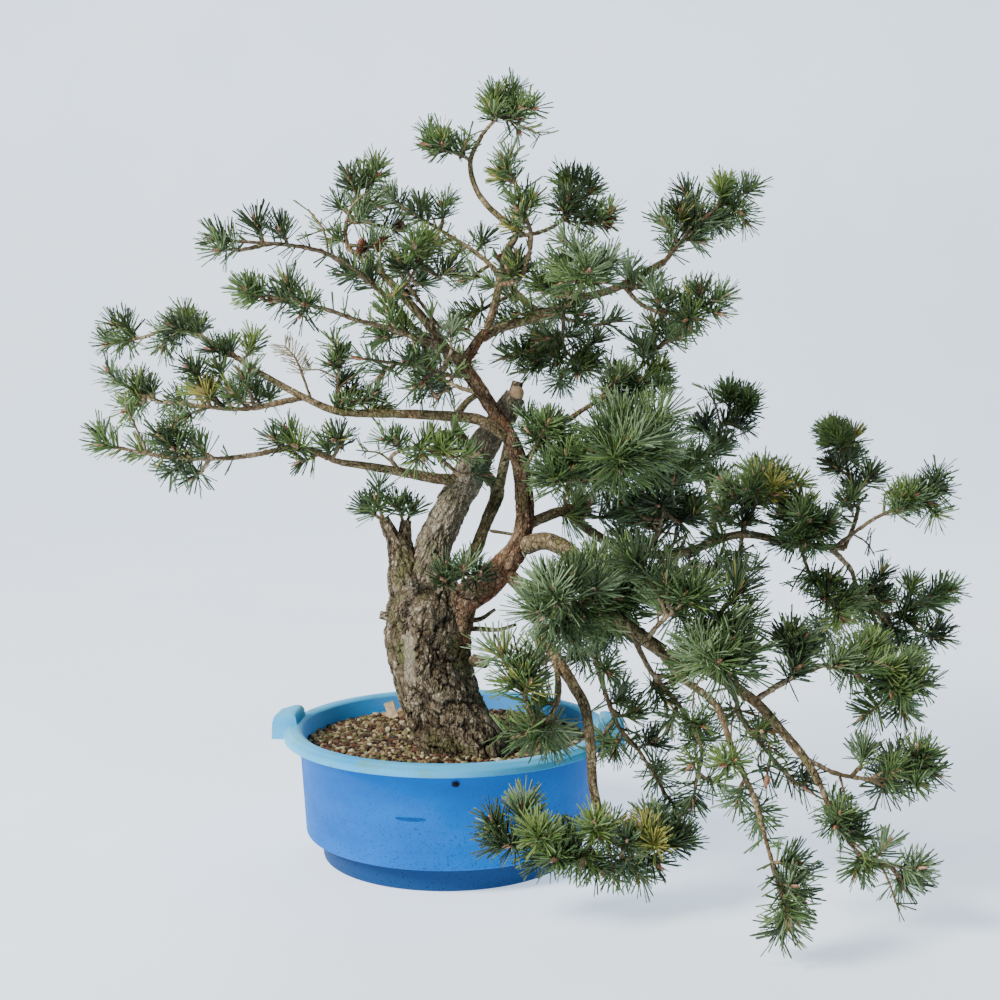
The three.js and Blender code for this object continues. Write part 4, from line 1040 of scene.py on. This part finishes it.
def build_limb(name, node, knots, radii, bark, seed, is_slim=True, is_sawn=True):
    """One limb as a fine tube whose surface carries its bark plates. A slim start keeps
    its foot inside the limb it grows from."""
    is_trunk = name == "bark_trunk"
    relief, material, slot = bark
    sides, step = relief[:2]
    line, thickness = thick_line(knots, radii, step)
    run = run_along(line)
    angles = round_angles(sides)
    reach = np.repeat(thickness[:, None], sides, axis=1)
    if is_trunk:
        reach = reach * trunk_flare(angles[None, :], line[:, 2, None])
    elif is_slim:
        reach = reach * (0.3 + 0.7 * smooth_step(0, 1.4 * thickness[0], run))[:, None]

    wide = np.mean(radii_at_knots(knots, radii))
    sheet = bark_sheet(angles, run, wide)
    out, height, tone = plate_relief(sheet, angles / (2 * np.pi), run[:, None], relief, seed)
    lumps = waves(sheet, wide * 1.6, seed + 7) * np.minimum(0.07 * reach, 2.4)
    bare = patch(tube(line, reach), SCAR, seed) if is_trunk else np.zeros(reach.shape)
    out = out * (1 - 0.85 * bare) - 1.2 * bare
    ends = 0.4 + 0.6 * np.minimum(1, (run[-1] - run) / 6)[:, None]
    reach = reach + (out * np.minimum(1, reach / 8) + lumps) * ends

    points, faces = closed_tube(line, reach)
    slots = np.zeros(len(faces), int)
    slots[-sides:] = is_sawn
    marks = {"relief": np.maximum(height, bare), "tone": tone}
    if is_trunk:
        points[:, 2] = np.maximum(points[:, 2], SOIL_TOP - 3)
        # Paler and barer upwards: partly the bark's own tone, partly painted light.
        pale = smooth_step(PALE_FROM, PALE_TO, line[:, 2, None])
        marks["tone"] = tone + 0.6 * pale - 0.1
        marks["bare"] = np.maximum(bare * 0.35, pale * 0.3)
        marks["rust_and_shade"] = patch(points, RED_STREAK, seed + 1) * 0.8
    # The red limb's low right side, away from the key light, is painted a dark red: the bark's own red,
    # deepened as painted shade.
    if material == RED_BARK:
        facing = unit(tube(line, reach) - line[:, None]) @ RED_AND_SHADED_SIDE
        marks["rust_and_shade"] = 0.65 * smooth_step(0.1, 1.1, facing + 0.5 * waves(sheet, 12, seed))
    limb = mesh_piece(name, (points, faces), [material, CUT_WOOD], slots)
    for mark_name, values in marks.items():
        mark(limb, mark_name, values)
    belongs(limb, slot, node)


def trunk_flare(angle, height):
    """How much wider the trunk is towards its roots, in uneven lobes with low ribs."""
    above = np.maximum(height - SOIL_TOP, 0)
    lobes = 0.6 + np.cos(3 * angle + 0.8)
    ribs = 0.035 * np.cos(5 * angle + above / 40)
    return 1 + FLARE * np.exp(-above / FLARE_HEIGHT) * lobes + ribs


# The trunk's marks: middle, and half width and height, of a bare scar and of a red streak
SCAR = (np.array([-40, -60, 232]), np.array([7, 40, 27]))
RED_STREAK = (np.array([17, -40, 256]), np.array([4, 50, 34]))

# The side of the red limb that is painted reddest and darkest, low and at the right, away from the key
# light: the bark's own red, deepened as painted shade
RED_AND_SHADED_SIDE = unit(np.array([0.7, -0.35, -0.6]))
# The ridge by which the red limb swells out of the trunk, in place of its first two knots
RED_FOOT = [(8, 212, -42), (14, 250, -48), (20, 284, -53)]
RED_FOOT_RADII = [8, 12, 17]

# Small snags on the trunk, as root, tip, radius and whether the end is sawn
SNAGS = [
    ((-50, 262, -36), (-76, 268, -38), 4.5, False), ((22, 218, -50), (42, 214, -66), 6.5, False),
    ((-36, 286, -56), (-41, 312, -76), 6, False), ((74, 508, 12), (77, 515, -9), 7.5, True),
]
# Branches of the mossy limb that pass behind the red limb, as root, tip and radius
MOSSY_BRANCHES = [((54, 396, 14), (67, 458, -16), 6.5), ((47, 362, -2), (80, 357, -52), 2)]


def patch(points, place, seed):
    """1 inside a ragged patch, fading to 0 at its edge."""
    middle, half = place
    away = np.abs((points - middle) / half).max(axis=-1)
    return 1 - smooth_step(0.7, 1.1, away + 0.22 * waves(points, 9, seed))


# Each limb's bark takes eight seeds in a row
for index, limb in enumerate(LIMBS):
    knots = route_from(limb.parent, limb.knot, limb.route)
    routes[limb.name] = Route(knots)
    radii = limb.radii
    if limb.name == "red_limb":
        knots = [sighted(place) for place in RED_FOOT] + knots[2:]
        radii = RED_FOOT_RADII + radii[2:]
    bark = BARKS.get(limb.name, BOUGH_BARK)
    build_limb("bark_" + limb.name, limb.name, knots, radii, bark, 20 + 9 * index)

for index, (knot, radii, places) in enumerate(STUBS):
    knots = route_from("trunk", knot, places)
    bark = (STUB_RELIEF if radii[0] > 6 else BOUGH_RELIEF, TRUNK_BARK, "bark")
    build_limb(f"stub_{index}", "trunk", knots, radii, bark, 300 + 9 * index, is_slim=False)

for index, (root, tip, radius, is_sawn) in enumerate(SNAGS):
    bark = (BOUGH_RELIEF, TRUNK_BARK, "bark")
    build_limb(f"snag_{index}", "trunk", [sighted(root), sighted(tip)], [radius * 1.2, radius], bark,
               400 + 9 * index, is_sawn=is_sawn)

for index, (root, tip, radius) in enumerate(MOSSY_BRANCHES):
    bark = (BOUGH_RELIEF, MOSSY_BARK, "bark")
    build_limb(f"mossy_branch_{index}", "mossy_limb", [sighted(root), sighted(tip)],
               [radius, radius * 0.8], bark, 500 + 9 * index)


# Needle masses: stems, twigs and shoots by the part's rule, carried on to finer shoots

# The needles' length as a share of the part's
NEEDLE_SHARE = 0.85
NEEDLE_WIDTH = 1.7
NEEDLE_THICKNESS = 0.8
# Pairs of needles on a tuft's main shoot and on its side shoots: sparse, plain and full tufts
MAIN_PAIRS = (14, 27, 36)
SIDE_PAIRS = (10, 15, 20)
# Tufts further right than this and between these heights are full
FULL_SIDE = 100
FULL_BAND = (190, 540)
# Bare twigs on the stem of each mass, and three times as many on a sparse one
BARE_TWIGS = 2
# How far a shoot ends short of the middle of the tuft that is seen
TUFT_SETBACK = 7
# How far in front of or behind its root a spray's tuft may lie
SPRAY_DEPTH = 26
# Twigs, as their radii from root to tip, their sides and the step between rings
TUFT_TWIG = ([2.0, 1.6, 1.3], 6, 4)
SIDE_TWIG = ([1.5, 1.3, 1.1], 5, 5)
SPRAY_TWIG = ([2.4, 2.1, 1.9], 7, 3.5)
BARE_TWIG = ([1.4, 1.1, 0.8], 5, 4)
SPRIG_TWIG = ([2.2, 1.9, 1.6], 7, 3)
COMB_TWIG = ([1.8, 1.5, 1.2, 0.9], 6, 3)
# How long the last stretch with needles is on a main and on a side shoot
MAIN_NEEDLED = 17
SIDE_NEEDLED = 13
SIDE_SHOOT_LENGTH = (14, 22)
BARE_TWIG_LENGTH = (30, 62)
# Length and width of the bud ahead of a main shoot, beside it, and ahead of a side shoot
MAIN_BUD = ((11, 16), (4.6, 5.8))
BESIDE_BUD = (8, 4)
SIDE_BUD = ((8, 13), (3.8, 4.8))
STRAY_NEEDLES_PER_MM = 0.14
# The share of a tuft's needles that take another tint
OTHER_TINT = 0.3
COMB_NEEDLES = 22
CONE_SCALES = 30
CONE_LENGTH = (12, 16)
CONE_WIDTH = 9

NEEDLE_TINTS = {
    "deep": ((45, 62, 34), (66, 86, 48), 0.31),
    "mid": ((72, 97, 51), (102, 128, 70), 0.35),
    "grey": ((100, 122, 84), (136, 158, 116), 0.21),
    "fresh": ((96, 118, 56), (126, 150, 75), 0.12),
    "gold": ((140, 140, 62), (176, 168, 84), 0.02),
    "dry": ((150, 138, 112), (190, 178, 150), 0),
}
# Masses whose needles are more golden, or darker, than the rest, and how the tints then weigh
GOLDEN_MASSES = {
    "right_fringe", "right_dense", "top_middle", "foot_brush", "right_drip", "left_dark", "curl",
}
GOLDEN_WEIGHTS = np.array([0.5, 0.8, 0.6, 1.5, 5, 0])
DARK_MASSES = {"near_fan", "near_round", "near_knot", "near_centre", "near_low"}
DARK_WEIGHTS = np.array([0.8, 1.2, 1.3, 0.7, 0, 0])


def seeded(seed):
    """The part's own repeatable run of numbers from 0 to 1."""
    state = seed

    def roll():
        nonlocal state
        state = (state * 1664525 + 1013904223) % 2**32
        return state / 2**32

    return roll


def share_of_stem(mass, order):
    """Where on its stem a twig grows: on one of the pads, or ever closer towards the tip."""
    if order == mass.tufts - 1:
        return 1.0
    if isinstance(mass.spacing, list):
        pads = mass.spacing
        return pads[order % len(pads)] + (order // len(pads) - 1) * PAD_STEP
    return mass.spacing + (1 - mass.spacing) * ((order + 1) / mass.tufts) ** TUFT_CROWDING


def twig_direction(ahead, order, jitter):
    """Where the next twig of a spiral round its stem points, a little ahead and upwards."""
    across = perpendicular_to(ahead)
    over = np.cross(across, ahead)
    turn = order * GOLDEN_ANGLE + jitter
    return unit(0.55 * ahead + math.cos(turn) * across + math.sin(turn) * over + 0.3 * UP)


def twigs_of(mass, route, roll):
    """The part's twigs as (start, end)."""
    twigs = []
    for order in range(mass.tufts):
        share = min(max(share_of_stem(mass, order), 0.03), 1)
        is_tip = order == mass.tufts - 1
        ahead = route.heading(share)
        jitter = roll() * 1.2
        stretch = 0.75 + 0.5 * roll()
        direction = ahead if is_tip else twig_direction(ahead, order, jitter)
        length = TIP_TWIG_LENGTH if is_tip else max(mass.spread * stretch, CORE_LENGTH + 2)
        start = route.at(share) - (3 * direction if is_tip else 0)
        twigs.append((start, start + direction * length))
    return twigs


# Masses outside the dense band that are as dense, and masses of drooping twigs with few needles
FULL_MASSES = {"foot_fan", "foot_brush"}
SPARSE_MASSES = {"right_fall", "right_fringe", "left_cross"}
# Masses near the camera whose needles are longer, and by how much
LONG_MASSES = {"near_fan", "near_round", "near_centre", "near_low", "right_belly", "curl"}
LONG_SHARE = 1.3

# Single tufts straight from the trunk and its stubs, as root and tip
SPRIGS = [
    ((16, 296, -60), (18, 318, -98)), ((24, 300, -60), (34, 312, -92)), ((10, 292, -60), (-4, 306, -96)),
    ((-70, 372, -28), (-78, 394, -38)), ((-71, 374, -28), (-88, 384, -22)),
    ((-48, 368, -18), (-54, 388, -26)), ((-47, 368, -18), (-38, 386, -10)),
]
# Cones, as the place on the nearest twig and the way they point
CONES = [
    ((-86, 682, 40), (-0.5, -0.6, 0.2)), ((-80, 668, 30), (0.4, -0.7, -0.3)),
    ((-73, 662, 26), (0.6, -0.5, 0.3)), ((-92, 664, 34), (-0.6, -0.6, -0.1)),
    ((-82, 655, 30), (0.1, -0.6, -0.6)), ((-30, 702, 90), (0.3, -0.7, 0.4)),
    ((28, 680, 60), (0.2, -0.8, -0.2)), ((190, 702, 36), (0.7, -0.4, 0.3)),
    ((184, 696, 34), (0.5, -0.7, -0.4)), ((196, 710, 38), (0.6, -0.6, 0.5)),
]
DEAD_TWIG = [(-150, 508, -4), (-158, 532, -8), (-166, 552, -12), (-178, 566, -16)]


class Foliage:
    """All needles, twigs, buds and cones, gathered by kind."""

    def __init__(self):
        self.rng = np.random.default_rng(2)
        self.needles = {tint: [] for tint in NEEDLE_TINTS}
        self.twigs = Pile()
        self.buds = Pile()
        self.cones = Pile()

    def branch(self, knots, radii, sides, step):
        """A thin twig with small knobs where old needles sat."""
        line, thickness = thick_line(knots, radii, step)
        knobs = 1 + 0.14 * self.rng.normal(size=(len(line), sides)).clip(-1.5, 1.5)
        self.twigs.add(*closed_tube(line, thickness[:, None] * knobs))

    def tint_of(self, mass):
        """A tint drawn by its weight in a mass."""
        weights = np.array([share for _, _, share in NEEDLE_TINTS.values()])
        if mass.name in GOLDEN_MASSES:
            weights = weights * GOLDEN_WEIGHTS
        if mass.name in DARK_MASSES:
            weights = weights * DARK_WEIGHTS
        return self.rng.choice(list(NEEDLE_TINTS), p=weights / weights.sum())

    def needle_pairs(self, mass, tint, roots, directions, length):
        """Two needles from each root, spread a little apart, some of them in another tint."""
        rng = self.rng
        count = len(roots)
        if mass.name in LONG_MASSES:
            length = length * LONG_SHARE
        apart = random_across(directions, rng)
        other = rng.random(count) < OTHER_TINT
        for side in (-1, 1):
            headings = unit(directions + side * apart * rng.uniform(0.06, 0.16, (count, 1)))
            lengths = length * rng.uniform(0.8, 1.12, (count, 1))
            for chosen, kind in ((~other, tint), (other, self.tint_of(mass))):
                self.needles[kind].append((roots[chosen], headings[chosen], lengths[chosen]))

    def shoot(self, start, end, mass, tint, needled, pairs):
        """A shoot whose last stretch carries pairs of needles that turn up to the light."""
        rng = self.rng
        ahead = unit(end - start)
        across = perpendicular_to(ahead)
        over = np.cross(ahead, across)
        along = np.sort(rng.random(pairs)) ** 0.8
        roots = end - ahead * (needled * (1 - along))[:, None]
        turn = np.arange(pairs) * GOLDEN_ANGLE + rng.uniform(0, 6.3)
        lean = np.radians(80 - 45 * along + rng.normal(0, 7, pairs))
        side = np.cos(turn)[:, None] * across + np.sin(turn)[:, None] * over
        lift = 0.12 + 0.33 * (1 - abs(ahead[2]))
        headings = np.cos(lean)[:, None] * ahead + np.sin(lean)[:, None] * side + lift * UP
        self.needle_pairs(mass, tint, roots, unit(headings), mass.needle * NEEDLE_SHARE)

    def bud(self, base, ahead, length, width):
        """A pointed bud of overlapping scales."""
        shares = np.array([0, 0.2, 0.45, 0.75, 1])
        outline = np.array([0.7, 1, 0.95, 0.55, 0.08]) * width / 2
        reach = outline[:, None] * (1 + 0.1 * np.cos(np.pi * (np.arange(5)[:, None] + np.arange(6))))
        self.buds.add(*closed_tube(base + shares[:, None] * length * ahead, reach))

    def cone(self, base, ahead, length, width):
        """A small open cone: scales in a spiral round a core."""
        across = perpendicular_to(ahead)
        over = np.cross(ahead, across)
        shares = np.linspace(0, 1, 6)
        core = np.repeat((np.sin(np.pi * (0.12 + 0.8 * shares)) * width * 0.32)[:, None], 6, axis=1)
        self.cones.add(*closed_tube(base + shares[:, None] * length * ahead, core))
        for scale in range(CONE_SCALES):
            share = 0.06 + 0.9 * scale / CONE_SCALES
            out = math.cos(scale * GOLDEN_ANGLE) * across + math.sin(scale * GOLDEN_ANGLE) * over
            wide = np.cross(ahead, out)
            size = width * 0.36 * math.sin(math.pi * (0.15 + 0.75 * share))
            root = base + ahead * length * share + out * size * 0.5
            tip = root + out * size * 1.1 + ahead * size * 0.9
            points = np.array([
                root - wide * size * 0.4, root + wide * size * 0.4,
                tip + wide * size * 0.55, tip - wide * size * 0.55,
                tip - ahead * size * 0.45,
            ])
            faces = np.array([(0, 1, 2), (0, 2, 3), (0, 3, 4), (1, 4, 2), (4, 3, 2), (1, 0, 4)])
            self.cones.add(points, faces)

    def tuft(self, start, end, mass):
        """A twig that ends in one shoot ahead and a few beside it."""
        rng = self.rng
        ahead = unit(end - start)
        length = np.linalg.norm(end - start)
        middle = (start + end) / 2 + rng.normal(size=3) * length * 0.05
        self.branch([start, middle, end], *TUFT_TWIG)
        tint = self.tint_of(mass)
        is_sparse = mass.name in SPARSE_MASSES
        in_band = end[0] > FULL_SIDE and FULL_BAND[0] < end[2] < FULL_BAND[1]
        is_full = (in_band or mass.name in FULL_MASSES) and not is_sparse
        fullness = 0 if is_sparse else 1 + is_full
        self.shoot(start, end, mass, tint, min(length, MAIN_NEEDLED), MAIN_PAIRS[fullness])
        self.bud(end - ahead, ahead, *(rng.uniform(*reach) for reach in MAIN_BUD))
        for side in (-1, 1):
            self.bud(end - 2 * ahead, unit(2 * ahead + side * perpendicular_to(ahead)), *BESIDE_BUD)
        for side in range(rng.integers(0, 2 + is_full)):
            root = start + (end - start) * rng.uniform(0.3, 0.85)
            direction = twig_direction(ahead, side, rng.uniform(0, 6.3))
            tip = root + unit(direction + 0.5 * ahead) * rng.uniform(*SIDE_SHOOT_LENGTH)
            self.branch([root, (root + tip) / 2 + rng.normal(size=3) * 0.7, tip], *SIDE_TWIG)
            self.shoot(root, tip, mass, tint, SIDE_NEEDLED, SIDE_PAIRS[fullness])
            if rng.random() < 0.6:
                self.bud(tip - ahead, unit(tip - root), *(rng.uniform(*reach) for reach in SIDE_BUD))

    def spray(self, route, place, mass):
        """A side twig from the nearest part of the stem to a tuft at a sighted place."""
        rng = self.rng
        shares = np.linspace(0.04, 0.98, 48)
        line = route.at(shares)
        nearest = np.linalg.norm(seen_at(line) - place, axis=1).argmin()
        root = line[max(nearest - 4, 0)]
        tip = sighted((*place, root[1] + rng.uniform(-SPRAY_DEPTH, SPRAY_DEPTH)))
        span = np.linalg.norm(tip - root)
        middle = root + (tip - root) * 0.5 + (rng.normal(size=3) * 0.08 - 0.06 * UP) * span
        ahead = unit(tip - middle)
        tip = tip - ahead * TUFT_SETBACK
        foot = tip - ahead * min(18, 0.6 * span)
        self.branch([root, middle, foot], *SPRAY_TWIG)
        self.tuft(foot, tip, mass)

    def bare_twig(self, route, mass):
        """A thin old twig that droops, with hardly a needle left."""
        rng = self.rng
        share = rng.uniform(0.15, 0.85)
        start = route.at(share)
        direction = twig_direction(route.heading(share), rng.integers(9), rng.uniform(0, 6.3))
        direction = direction - 0.35 * UP
        length = rng.uniform(*BARE_TWIG_LENGTH)
        turn = rng.normal(size=3) * 0.22
        middle = start + unit(direction) * length * 0.5
        end = middle + unit(unit(direction) + turn - 0.2 * UP) * length * 0.5
        is_in_tub = np.hypot(*end[:2]) < LIP_RADIUS + 6 and end[2] < LIP_TOP + 6
        if min(middle[2], end[2]) < 8 or is_in_tub:
            return
        self.branch([start, middle, end], *BARE_TWIG)
        count = rng.integers(3, 9)
        along = rng.uniform(0.4, 1, (count, 1))
        headings = unit(unit(end - middle) + 0.9 * rng.normal(size=(count, 3)) + 0.2 * UP)
        roots = middle + (end - middle) * (2 * along - 1).clip(0)
        self.needle_pairs(mass, "mid", roots, headings, mass.needle * NEEDLE_SHARE * 0.8)

    def sprig(self, root, tip, mass):
        """A short twig with one tuft, straight from a limb."""
        root, tip = sighted(root), sighted(tip)
        self.branch([root, (root + tip) / 2, tip], *SPRIG_TWIG)
        self.tuft((root + tip) / 2, tip, mass)

    def dead_twig(self, places):
        """A grey dead twig that still holds its dry needles in a comb."""
        rng = self.rng
        route = Route([sighted(place) for place in places])
        self.branch(route.knots, *COMB_TWIG)
        shares = np.linspace(0.35, 1, COMB_NEEDLES)
        ahead = route.heading(shares)
        turns = np.where(np.arange(COMB_NEEDLES) % 2, 1, -1)[:, None]
        side = unit(np.cross(ahead, [0, 1, 0])) * turns
        headings = unit(0.8 * ahead + side + 0.15 * rng.normal(size=(COMB_NEEDLES, 3)))
        for turn in (-0.12, 0.12):
            apart = unit(headings + turn * np.cross(headings, [0, 1, 0]))
            lengths = rng.uniform(14, 22, (COMB_NEEDLES, 1))
            self.needles["dry"].append((route.at(shares), apart, lengths))

    def stray_needles(self, mass, route, length):
        """Sparse older needles on the stem below its tufts."""
        rng = self.rng
        count = int(length * STRAY_NEEDLES_PER_MM)
        shares = rng.uniform(0.45, 1, count)
        ahead = route.heading(shares)
        side = random_across(ahead, rng)
        headings = unit(0.5 * ahead + side + 0.15 * UP)
        self.needle_pairs(mass, "mid", route.at(shares), headings, mass.needle * NEEDLE_SHARE * 0.85)

    def mass(self, index, mass):
        """The stem of a mass with its twigs, and all that grows on them."""
        knots = route_from(mass.parent, mass.knot, mass.stem)
        route = Route(knots)
        length = run_along(route.at(route.even_shares(2)))[-1]
        radii = radii_at_knots(knots, [STEM_TIP_RADIUS + length * STEM_TAPER_PER_MM, STEM_TIP_RADIUS])
        self.branch(knots, radii * 0.96, 10, 3)
        for start, end in twigs_of(mass, route, seeded(index + 1)):
            self.tuft(start, end, mass)
        for place in mass.sprays:
            self.spray(route, place, mass)
        for _ in range(BARE_TWIGS * 3 if mass.name in SPARSE_MASSES else BARE_TWIGS):
            self.bare_twig(route, mass)
        self.stray_needles(mass, route, length)


def in_the_open(tips):
    """Which needle tips are neither in the tub's wall nor below the ground."""
    from_axis = np.hypot(tips[:, 0], tips[:, 1])
    over_tub = (from_axis > LIP_RADIUS + 1) | (tips[:, 2] > LIP_TOP + 1)
    return over_tub & (tips[:, 2] > 3)


def needle_shapes(roots, headings, lengths, rng):
    """Slim three-sided needles: a foot, a full shoulder near the end and a short point."""
    count = len(roots)
    wide = random_across(headings, rng)
    thick = np.cross(headings, wide)
    curl = UP - headings * (headings @ UP)[:, None] + 0.4 * rng.normal(size=(count, 3))
    curl = curl * lengths * rng.uniform(0.0, 0.12, (count, 1))
    widths = NEEDLE_WIDTH * rng.uniform(0.85, 1.15, (count, 1))
    section = [(-0.5, 0), (0.5, 0), (0, 1)]
    shapes = np.empty((count, 7, 3))
    for row, (share, full) in enumerate([(0, 0.85), (0.93, 0.95)]):
        centre = roots + headings * lengths * share + curl * share**2
        for corner, (across, over) in enumerate(section):
            shapes[:, row * 3 + corner] = (
                centre + wide * widths * across * full + thick * NEEDLE_THICKNESS * over * full)
    shapes[:, 6] = roots + headings * lengths + curl
    return shapes


NEEDLE_FACES = np.array([
    (0, 1, 4), (0, 4, 3), (1, 2, 5), (1, 5, 4), (2, 0, 3), (2, 3, 5), (3, 4, 6), (4, 5, 6), (5, 3, 6),
])
NEEDLES_PER_PIECE = 21000

foliage = Foliage()
for index, mass in enumerate(MASSES):
    foliage.mass(index, mass)
for root, tip in SPRIGS:
    foliage.sprig(root, tip, MASSES[0])
foliage.dead_twig(DEAD_TWIG)
twig_points = foliage.twigs.joined()[0]
for place, heading in CONES:
    nearest = np.linalg.norm(twig_points - sighted(place), axis=1).argmin()
    length = foliage.rng.uniform(*CONE_LENGTH)
    foliage.cone(twig_points[nearest], unit(np.array(heading)), length, CONE_WIDTH)

mass_nodes = ["needles_" + mass.name for mass in MASSES]
for tint, batches in foliage.needles.items():
    dark, light, _ = NEEDLE_TINTS[tint]
    material = tinted_material("needles_" + tint, dark, light, 0.45, 0.4, 26, 0.0001)
    roots, headings, lengths = (np.concatenate(column) for column in zip(*batches))
    shapes = needle_shapes(roots, headings, lengths, foliage.rng)
    shapes = shapes[in_the_open(shapes[:, 6]) & in_the_open(shapes[:, 3])]
    for part, first in enumerate(range(0, len(shapes), NEEDLES_PER_PIECE)):
        pile = Pile()
        pile.add_copies(shapes[first:first + NEEDLES_PER_PIECE], NEEDLE_FACES)
        needles = mesh_piece(f"needles_{tint}_{part}", pile.joined(), [material])
        belongs(needles, "needles", *mass_nodes)

BUD_MATERIAL = tinted_material("buds", (146, 92, 68), (206, 164, 138), 0.6, 0.3, 200, 0.0004)
CONE_MATERIAL = tinted_material("cones", (96, 56, 46), (140, 92, 74), 0.75, 0.2, 90, 0.0006)
twig_piece = mesh_piece("twigs", foliage.twigs.joined(), [TWIG_BARK])
mark(twig_piece, "relief", smooth_step(-1.2, 0.3, waves(twig_points, 5, 8)))
mark(twig_piece, "tone", smooth_step(-0.8, 0.8, waves(twig_points, 40, 9)))
belongs(twig_piece, "young_bark", *mass_nodes)
belongs(mesh_piece("buds", foliage.buds.joined(), [BUD_MATERIAL]), "needles", *mass_nodes)
cones = mesh_piece("cones", foliage.cones.joined(), [CONE_MATERIAL], smooth=False)
belongs(cones, "needles", *mass_nodes)


# Stage: a pale floor that runs up into a backdrop, soft lights and the camera

FLOOR_HALF_WIDTH = 6000
FLOOR_FRONT = -3200
FLOOR_BACK = 4200
FLOOR_BEND = 1500
BACKDROP_TOP = 6000


def build_floor():
    """A strip that lies on the ground, bends up behind the tree and stands as a backdrop."""
    rise = np.linspace(0, np.pi / 2, 14)
    bent = FLOOR_BEND * np.stack([np.sin(rise), 1 - np.cos(rise)], axis=1)
    line = np.vstack([
        [FLOOR_FRONT, 0], bent + [FLOOR_BACK - FLOOR_BEND, 0], [FLOOR_BACK, BACKDROP_TOP],
    ])
    points = np.array([(x, y, z) for y, z in line for x in (-FLOOR_HALF_WIDTH, FLOOR_HALF_WIDTH)])
    faces = []
    for a in range(0, 2 * len(line) - 2, 2):
        faces += [(a, a + 1, a + 3), (a, a + 3, a + 2)]
    cloth = tinted_material("floor", (238, 243, 250), (244, 248, 253), 0.9, 0.1, 3, 0.0002)
    shader = cloth.node_tree.nodes["Principled BSDF"]
    shader.inputs["Emission Color"].default_value = (0.66, 0.83, 1.0, 1)
    shader.inputs["Emission Strength"].default_value = 1.0
    return mesh_piece("floor", (points, np.array(faces)), [cloth])


def area_light(name, place, target, size, power, colour):
    data = bpy.data.lights.new(name, "AREA")
    data.shape = "DISK"
    data.size = size
    data.energy = power
    data.color = colour
    light = bpy.data.objects.new(name, data)
    light.location = place
    light.rotation_euler = (Vector(target) - Vector(place)).to_track_quat("-Z", "Y").to_euler()
    bpy.context.scene.collection.objects.link(light)


build_floor()
area_light("key", (-3.0, -2.1, 2.9), (0, 0, 0.4), 1.5, 330, (1.0, 0.98, 0.94))
area_light("fill", (2.6, -2.6, 1.6), (0.1, 0, 0.4), 3.0, 15, (0.9, 0.95, 1.0))
area_light("back", (0.6, 2.6, 2.8), (0, 0, 0.5), 2.4, 30, (0.95, 0.98, 1.0))

world = bpy.data.worlds.new("world")
world.use_nodes = True
sky = world.node_tree.nodes["Background"]
sky.inputs["Color"].default_value = (0.86, 0.92, 1.0, 1)
sky.inputs["Strength"].default_value = 0.15
bpy.context.scene.world = world

camera_data = bpy.data.cameras.new("camera")
camera_data.lens = LENS
camera_data.sensor_width = 36
camera = bpy.data.objects.new("camera", camera_data)
camera.location = (EYE_ACROSS * MM, -EYE_DISTANCE * MM, EYE_HEIGHT * MM)
camera.rotation_euler = (math.radians(90 - EYE_PITCH), 0, 0)
bpy.context.scene.collection.objects.link(camera)
bpy.context.scene.camera = camera
